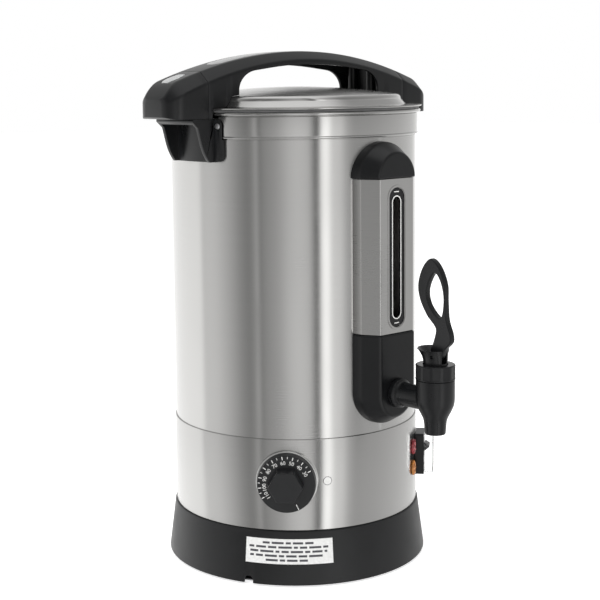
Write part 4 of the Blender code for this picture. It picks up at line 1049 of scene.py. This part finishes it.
def make_collar():
    """The threaded cap of the tap, with flat grips round its side."""
    top = COLLAR_TOP_Z
    lip_z = top - 0.0037
    inner = 0.0108
    profile = rounded(
        [
            (inner, top),
            (TAP_RADIUS, top, 0.0010),
            (TAP_RADIUS, COLLAR_BOTTOM_Z, 0.0005),
            (0.0141, COLLAR_BOTTOM_Z),
            (0.0141, lip_z),
            (inner, lip_z),
        ]
    )
    collar = turned("tap_collar_skin", profile, 96, COLUMN)
    count = 12
    for i in range(count):
        place = COLUMN @ Matrix.Rotation(2 * pi * (i + 0.5) / count, 4, "Z")
        flat = TAP_RADIUS * cos(pi / count) + 0.00012
        lower, upper = (flat, -0.003, COLLAR_BOTTOM_Z + 0.0012), (0.02, 0.003, top - 0.0012)
        combine(collar, slab("cutter", lower, upper, place))
    bevel(collar, 0.00025, 2, 30.0)
    put(weighted(collar, 30.0), "kettle", "tap_plastic", "black_plastic", "tap_collar")


def make_bonnet():
    """A flared cup with a raised back lip, and a slot in front for the lever."""

    def ring(radius, shift, height, tip=0.0):
        points = arc((0.0, TAP_AXIS_Y + shift), radius, 0.0, 360.0, SMALL_STEPS)[:-1]
        back = TAP_AXIS_Y + shift
        return [(x, y, height + tip * max((y - back) / radius, -1.0)) for x, y in points]

    top = BONNET_TOP_Z
    lift = 0.0006
    sections = [
        ring(0.0134, 0.0, 0.1918),
        ring(0.0136, 0.0, 0.1920),
        ring(0.0136, 0.0, 0.1936),
        ring(0.0134, 0.0, 0.1938),
        ring(0.0107, 0.0, 0.1938),
        ring(0.0103, 0.0, 0.1943),
        ring(0.0103, 0.0, 0.2000),
        ring(0.0105, 0.0001, 0.2020),
        ring(0.0109, 0.0005, 0.2044),
        ring(0.0117, 0.0013, 0.2070, lift * 0.4),
        ring(0.0127, 0.0020, 0.2092, lift * 0.7),
        ring(0.0134, 0.0025, top - 0.0012, lift),
        ring(0.0133, 0.0025, top - lift, lift),
        ring(0.0128, 0.0025, top - lift - 0.0001, lift),
        ring(0.0116, 0.0018, 0.2092, lift * 0.7),
        ring(0.0098, 0.0010, 0.2070, lift * 0.3),
        ring(0.0082, 0.0003, 0.2050),
    ]
    bonnet = loft("tap_bonnet_skin", sections)
    slot_half = LEVER_HALF_THICKNESS + 0.0004
    drill(bonnet, 0.0026, 0.18, 0.22, COLUMN, 32)
    combine(bonnet, slab("cutter", (-slot_half, -0.195, 0.1990), (slot_half, -0.1690, 0.22)))
    drill(bonnet, 0.0015, -0.012, 0.012, PIN_FRAME, 24)
    bevel(bonnet, 0.0003, 2, 45.0)
    put(smooth(bonnet, 35.0), "kettle", "tap_plastic", "black_plastic", "tap_bonnet")


def smooth_loop(points, per_side=10):
    """A closed Catmull-Rom curve through (x, y) points."""
    made = []
    count = len(points)
    for i in range(count):
        a, b, c, d = (Vector(points[(i + k) % count]) for k in (-1, 0, 1, 2))
        for step in range(per_side):
            t = step / per_side
            bend = (2 * a - 5 * b + 4 * c - d) * t * t + (3 * b - a - 3 * c + d) * t**3
            made.append(tuple(0.5 * (2 * b + (c - a) * t + bend)))
    return made


LEVER_OUTLINE = [
    (-0.1872, 0.2113), (-0.1936, 0.2180), (-0.1936, 0.2250), (-0.1893, 0.2365), (-0.1880, 0.2513),
    (-0.1872, 0.2660), (-0.1805, 0.2800), (-0.1712, 0.2862), (-0.1625, 0.2785), (-0.1572, 0.2642),
    (-0.1592, 0.2510), (-0.1668, 0.2384), (-0.1752, 0.2304), (-0.1770, 0.2255), (-0.1738, 0.2150),
    (-0.1712, 0.2092), (-0.1752, 0.2040), (-0.1795, 0.2002), (-0.1838, 0.2040),
]
LEVER_HOLE = [
    (-0.1752, 0.2742), (-0.1675, 0.2605), (-0.1700, 0.2474), (-0.1818, 0.2375), (-0.1853, 0.2524),
    (-0.1822, 0.2669),
]


def make_lever():
    """The loop lever: a plate with a finger hole, all its edges well rounded."""
    half = LEVER_HALF_THICKNESS
    lever = prism("tap_lever_skin", smooth_loop(LEVER_OUTLINE, 8), -half, half, YZ_PLANE)
    cut(lever, smooth_loop(LEVER_HOLE, 14), -0.01, 0.01, YZ_PLANE)
    bevel(lever, 0.0014, 5, 50.0)
    drill(lever, 0.0014, -0.02, 0.02, PIN_FRAME, 24)
    put(weighted(lever, 40.0), "tap_lever", "tap_plastic", "black_plastic", "tap_lever")


def make_spring():
    """The valve's coil spring, built at one length; the real spring shortens towards its upper end as the
    valve lifts.
    """
    turns, per_turn = 6, 24
    wire = 0.0005
    coil = high("tap_spring").x - wire
    bottom, top = low("tap_spring").z + wire, high("tap_spring").z - wire
    sections = []
    for i in range(turns * per_turn + 1):
        turn = 2 * pi * i / per_turn
        out = Vector((cos(turn), sin(turn), 0.0))
        height = bottom + (top - bottom) * i / (turns * per_turn)
        centre = out * coil + Vector((0.0, TAP_AXIS_Y, height))
        ring = arc((0.0, 0.0), wire, 0.0, 360.0, 10)[:-1]
        sections.append([centre + out * a + Vector((0.0, 0.0, b)) for a, b in ring])
    spring = loft("tap_spring_skin", sections)
    put(smooth(spring, 60.0), "kettle", "zinc_steel", "zinc_steel", "tap_spring")
    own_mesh(spring)


# Controls --------------------


def dial_text(value, angle, radius, size, place):
    """One number, standing upright along the dial's edge, as thin raised ink."""
    curve = bpy.data.curves.new(f"figure_{value}", "FONT")
    curve.body = value
    curve.size = size
    curve.extrude = 0.00006
    curve.align_x = "CENTER"
    curve.align_y = "CENTER"
    curve.resolution_u = 3
    thing = bpy.data.objects.new(curve.name, curve)
    bpy.context.scene.collection.objects.link(thing)
    turn = radians(angle)
    spot = Matrix.Translation((radius * sin(turn), radius * cos(turn), 0.0))
    thing.matrix_world = place @ spot @ Matrix.Rotation(-turn, 4, "Z")
    bpy.context.view_layer.update()
    graph = bpy.context.evaluated_depsgraph_get()
    mesh = bpy.data.meshes.new_from_object(thing.evaluated_get(graph))
    made = new_object(curve.name + "_mesh", mesh, thing.matrix_world.copy())
    bpy.data.objects.remove(thing, do_unlink=True)
    return made


def make_dial():
    place = radial_frame(DIAL_ANGLE, DIAL_Z)
    inner, outer, back, front = 0.0235, 0.0266, 0.1040, 0.1168
    profile = rounded([(inner, front), (outer, front, 0.0007), (outer, back), (inner, back)], True, 6)
    bezel = turned("dial_bezel_skin", profile, 128, place)
    trim(bezel, CONTROL_RADIUS + GAP, *FITTING_HEIGHTS)
    put(smooth(bezel), "kettle", "bezel_steel", "polished_steel", "dial_bezel")

    face = 0.1245
    back = 0.1172
    profile = rounded([(0.0, face), (0.0249, face, 0.0009), (0.0256, back, 0.0003), (0.0, back)], True, 5)
    knob = turned("thermostat_knob_skin", profile, 128, place)
    tip = 0.1360
    grip = prism("grip", rounded(hexagon(0.0158, 0.0011), True, 4), 0.1230, tip, place)
    taper_top(grip, 0.93, tip)
    bevel(grip, 0.0007, 3, 50.0)
    combine(knob, grip, "UNION")
    drill(knob, 0.0033, 0.11, 0.1306, place, 32)
    put(weighted(knob, 38.0), "thermostat_dial", "knob_plastic", "knob_plastic", "thermostat_knob")

    marks = []
    first, step = -121.0, 22.6
    lift = Matrix.Translation((0.0, 0.0, face))
    for i in range(9):
        angle = first + i * step
        value = str(110 - 10 * i)
        marks.append(dial_text(value, angle, 0.0186, 0.0046, place @ lift))
        marks.append(tick(angle, 0.0215, 0.0243, 0.00032, place @ lift))
        if i < 8:
            marks.append(tick(angle + step / 2, 0.0224, 0.0243, 0.00022, place @ lift))
    marks.append(tick(154.0, 0.0192, 0.0243, 0.0003, place @ lift))
    put(merge("dial_figures", marks), "thermostat_dial", "white_ink", "knob_plastic")
    dot_place = radial_frame(DIAL_ANGLE + 17.9, 0.0915)
    dot = rod("dial_index", 0.0034, CONTROL_RADIUS - 0.0002, CONTROL_RADIUS + 0.0002, dot_place, 40)
    put(smooth(dot), "kettle", "white_ink", "brushed_steel")
    outline = turned("dial_index_ring", ring_profile(0.0034, 0.0038, CONTROL_RADIUS), 40, dot_place)
    put(smooth(outline), "kettle", "grey_ink", "brushed_steel")


def ring_profile(inner, outer, wall):
    top, bottom = wall + 0.00015, wall - 0.0003
    return [(inner, top), (outer, top), (outer, bottom), (inner, bottom)]


def hexagon(radius, fillet):
    turns = [radians(60 * i) for i in range(6)]
    return [(radius * cos(t), radius * sin(t), fillet) for t in turns]


def taper_top(thing, share, tip):
    for vertex in thing.data.vertices:
        if abs(vertex.co.z - tip) < 1e-6:
            vertex.co.x *= share
            vertex.co.y *= share


def tick(angle, inner, outer, half_width, place):
    turn = Matrix.Rotation(-radians(angle), 4, "Z")
    return slab("tick", (-half_width, inner, -0.00005), (half_width, outer, 0.00006), place @ turn)


def wall_fitting(name, place, front, flange, stem, stem_depths, well, well_floor):
    """A flange on the control shell's wall, with a stem through the wall and a well in its face."""
    body = prism(name, rounded_rectangle(*flange), 0.105, front, place)
    trim(body, CONTROL_RADIUS + GAP, *FITTING_HEIGHTS)
    combine(body, prism("stem", rounded_rectangle(*stem), *stem_depths, place), "UNION")
    cut(body, well, well_floor, WALL_DEPTHS[1], place)
    return bevel(body, 0.0006, 3, 40.0)


def make_switch():
    place = radial_frame(SWITCH_ANGLE, SWITCH_Z)
    front = 0.1200
    half_x, half_y = 0.0074, 0.0130
    well = [(-half_x, -half_y), (half_x, -half_y), (half_x, half_y), (-half_x, half_y)]
    flange, stem = (0.0125, 0.0190, 0.0018), (0.0083, 0.0143, 0.0008)
    body = wall_fitting("switch_frame_skin", place, front, flange, stem, (0.088, 0.1150), well, 0.1030)
    put(weighted(body), "kettle", "black_plastic", "black_plastic", "switch_body")

    tip = 0.0085
    edge = [(0.0090, -0.0045), (0.0108, 0.0030), (tip, tip, 0.0007)]
    outline = [(-x, *rest) for x, *rest in (edge[1], edge[0])] + edge
    outline += [(0.0, 0.0035, 0.006), (-tip, tip, 0.0007)]
    tilt = Matrix.Rotation(radians(15.0), 4, "X")
    seat = place @ Matrix.Translation((0.0, 0.0, 0.1148)) @ tilt @ YZ_PLANE
    rocker = prism("switch_rocker_skin", rounded(outline, True, 6), -0.0068, 0.0068, seat)
    bevel(rocker, 0.0004, 2, 50.0)
    put(weighted(rocker), "power_rocker", "knob_plastic", "black_plastic", "switch_rocker")

    skin, cap_high = 0.0006, 0.1284
    cap_x, cap_y = 0.0112, 0.0178
    cap = prism("switch_cover_skin", rounded_rectangle(cap_x, cap_y, 0.0025), front + GAP, cap_high, place)
    bevel(cap, 0.0016, 4, 50.0)
    cut(cap, rounded_rectangle(cap_x - skin, cap_y - skin, 0.0020), 0.11, cap_high - skin, place)
    put(smooth(cap), "kettle", "clear_cap", "clear_cap", "switch_cover")


def make_lamps():
    for lamp, colour in (("power_lamp", "red_lens"), ("ready_lamp", "amber_lens")):
        height = (low(lamp).z + high(lamp).z) / 2
        place = radial_frame(LAMP_ANGLE, height)
        stations = [(0.1000, 0.0031, 0.0055), (0.1124, 0.0031, 0.0055), (0.1124, 0.0042, 0.0070)]
        for turn in spread(0.0, 80.0, 6):
            share = cos(radians(turn))
            rise = sin(radians(turn))
            stations.append((0.1130 + 0.0020 * rise, 0.0012 + 0.0030 * share, 0.0040 + 0.0030 * share))
        sections = []
        for depth, half_width, half_height in stations:
            outline = [
                (half_width * cos(radians(turn)), half_height * sin(radians(turn)))
                for turn in range(0, 360, 12)
            ]
            sections.append([place @ Vector((x, y, depth)) for x, y in outline])
        made = loft(f"{lamp}_skin", sections)
        put(smooth(made, 40.0), "kettle", colour, colour, lamp)


def make_inlet():
    place = radial_frame(180.0, INLET_Z)
    flange, stem = (0.0170, 0.0140, 0.003), (0.0136, 0.0106, 0.001)
    well = rounded_rectangle(0.0116, 0.0086, 0.001)
    inlet = wall_fitting("power_inlet_skin", place, 0.1150, flange, stem, (0.092, 0.1140), well, 0.0960)
    for x, y in ((-0.007, -0.002), (0.0, 0.002), (0.007, -0.002)):
        blade = slab("blade", (x - 0.001, y - 0.002, 0.0940), (x + 0.001, y + 0.002, 0.1065), place)
        combine(inlet, blade, "UNION")
    put(weighted(inlet), "kettle", "black_plastic", "black_plastic", "power_inlet")


def paint_frame():
    """Materials for the CAD nodes that show as they are."""
    paint("silicone", "lid_seal", "sight_tube_stopper", "seat_cup")
    paint("silicone", "tank_gasket_outer", "tank_gasket_inner")
    paint("clear_glass", "sight_tube")
    paint("black_plastic", "level_tee", "valve_stem", "lever_pin")
    paint("aluminium", "heat_spreader")
    screws = [f"{handle}_screw_{i}" for handle in ("handle", "carrying_handle") for i in range(1, 5)]
    paint("zinc_steel", "bottom_plate", "heating_element", "boil_dry_cutout", "tap_nut")
    paint("zinc_steel", "thermostat", "thermostat_shaft", *screws)
    paint("rubber", *[f"rubber_foot_{i}" for i in range(1, 5)])


# Studio --------------------

# Brightness of the studio round the horizon, by direction from the tap side, turning towards +X.
CAMERA_AZIMUTH = -42.0
STUDIO = (
    (-180, 1.15), (-154, 1.15), (-99, 1.13), (-95, 0.76), (-87, 0.82), (-78, 0.78), (-64, 0.58),
    (-51, 0.36), (-43, 0.27), (-38, 0.34), (-35.5, 0.56), (-33.5, 0.52), (-31.5, 0.20), (-28, 0.37),
    (-15, 0.50), (-4, 0.72), (4, 0.80), (14, 0.76), (18, 0.42), (20, 0.05), (23.5, 0.05), (25.5, 1.50),
    (31, 1.70), (36, 0.96), (44, 0.92), (50, 0.60), (57, 0.46), (80, 0.50), (110, 0.62), (147, 0.80),
    (180, 1.15),
)

# How much of that brightness is left at a height (the sine of the elevation).
ELEVATION = (
    (-1.0, 0.7), (-0.35, 1.15), (-0.12, 1.0), (0.10, 0.92),
    (0.28, 0.66), (0.50, 0.55), (0.84, 0.62), (1.0, 0.7),
)


def make_world():
    """Soft studio surroundings: pale all round, with darker and brighter panels along the horizon."""
    world = bpy.data.worlds.new("studio")
    bpy.context.scene.world = world
    world.use_nodes = True
    tree = world.node_tree
    tree.nodes.clear()
    direction = node(tree, "TexCoord").outputs["Generated"]
    rise = node(tree, "SeparateXYZ", {"Vector": direction}).outputs["Z"]
    turn = radians(CAMERA_AZIMUTH)
    along, across = (
        node(tree, "VectorMath", {0: direction, 1: axis}, operation="DOT_PRODUCT").outputs["Value"]
        for axis in ((cos(turn), sin(turn), 0.0), (sin(turn), -cos(turn), 0.0))
    )
    azimuth = node(tree, "Math", {0: along, 1: across}, operation="ARCTAN2").outputs[0]
    ramp = node(tree, "ValToRGB", {"Fac": spread_value(tree, azimuth, 0.0, 1.0, -pi, pi)})
    elements = ramp.color_ramp.elements
    elements.remove(elements[-1])
    scale = 0.5
    for i, (angle, level) in enumerate(STUDIO):
        position = (angle + 180) / 360
        element = elements[0] if i == 0 else elements.new(position)
        element.position = position
        element.color = (level * scale, level * scale, level * scale * 0.995, 1.0)
    fade = node(tree, "ValToRGB", {"Fac": spread_value(tree, rise, 0.0, 1.0, -1.0, 1.0)})
    stops = fade.color_ramp.elements
    for height, level in ELEVATION[1:-1]:
        stops.new((1 + height) / 2)
    for stop, (height, level) in zip(stops, ELEVATION):
        stop.color = (level, level, level, 1.0)
    panels = mix(tree, 1.0, ramp.outputs["Color"], fade.outputs["Color"], blend_type="MULTIPLY")
    overhead_share = spread_value(tree, rise, 0.0, 1.0, 0.86, 0.95)
    overhead = mix(tree, overhead_share, panels, (0.48, 0.48, 0.48, 1.0))
    backdrop = node(tree, "LightPath").outputs["Is Camera Ray"]
    seen = mix(tree, backdrop, overhead, (0.5, 0.5, 0.5, 1.0))
    light = node(tree, "Background", {"Color": seen, "Strength": 2.0})
    node(tree, "OutputWorld", {"Surface": light.outputs[0]})


def make_floor():
    def build(shape):
        corners = [shape.verts.new((x, y, 0.0)) for x, y in ((-9, -9), (9, -9), (9, 9), (-9, 9))]
        shape.faces.new(corners)

    floor = new_object("floor", mesh_from("floor", build))
    floor.location.z = -0.0002
    tree, shader = start_material("floor")
    cloud = noise(tree, 1.5)
    base = tint(tree, cloud, (0.93, 0.93, 0.93), (0.96, 0.96, 0.96))
    finish(tree, shader, base, spread_value(tree, cloud, 0.75, 0.85))
    shader.inputs["Specular IOR Level"].default_value = 0.1
    shader.inputs["Emission Color"].default_value = (1.0, 1.0, 1.0, 1.0)
    shader.inputs["Emission Strength"].default_value = 0.6
    floor.data.materials.append(MATERIALS["floor"])
    floor.visible_glossy = False


def area_light(name, place, target, size, power):
    lamp = bpy.data.lights.new(name, "AREA")
    lamp.shape = "RECTANGLE"
    lamp.size, lamp.size_y = size
    lamp.energy = power
    made = bpy.data.objects.new(name, lamp)
    bpy.context.scene.collection.objects.link(made)
    made.location = place
    aim = Vector(target) - Vector(place)
    made.rotation_euler = aim.to_track_quat("-Z", "Y").to_euler()
    made.visible_camera = False
    made.visible_glossy = False


def make_lights():
    middle = (0.0, 0.0, 0.22)
    area_light("key_light", (-1.9, -0.5, 1.7), middle, (1.2, 1.2), 22.0)
    area_light("fill_light", (1.1, -1.9, 1.3), middle, (1.4, 1.0), 12.0)
    area_light("top_light", (0.1, 0.3, 2.0), middle, (1.6, 1.6), 16.0)


def make_camera():
    """The photograph's viewing angle: 42 degrees left of the tap, just above the lid."""
    lens = bpy.data.cameras.new("camera")
    lens.lens = 82.02
    lens.sensor_width = 36.0
    lens.shift_x = 0.05
    lens.shift_y = -0.10
    camera = bpy.data.objects.new("camera", lens)
    bpy.context.scene.collection.objects.link(camera)
    distance = 1.2528
    height = 0.43668
    pitch, yaw, roll = (radians(value) for value in (6.782, -1.009, -0.679))
    forward = Vector((sin(yaw) * cos(pitch), cos(yaw) * cos(pitch), -sin(pitch)))
    level = Vector((cos(yaw), -sin(yaw), 0.0))
    up = level.cross(forward)
    right = cos(roll) * level + sin(roll) * up
    top = -sin(roll) * level + cos(roll) * up
    basis = placed(right, top, -forward, (0.0, -distance, height))
    camera.matrix_world = Matrix.Rotation(radians(CAMERA_AZIMUTH), 4, "Z") @ basis
    bpy.context.scene.camera = camera


make_base()
make_label()
make_control_shell()
make_tank()
make_lid()
make_lid_handle()
make_carrying_handles()
make_level_housing()
make_tap_body()
make_collar()
make_bonnet()
make_lever()
make_spring()
make_dial()
make_switch()
make_lamps()
make_inlet()
paint_frame()
make_world()
make_floor()
make_lights()
make_camera()
bpy.context.scene.view_settings.view_transform = "Standard"
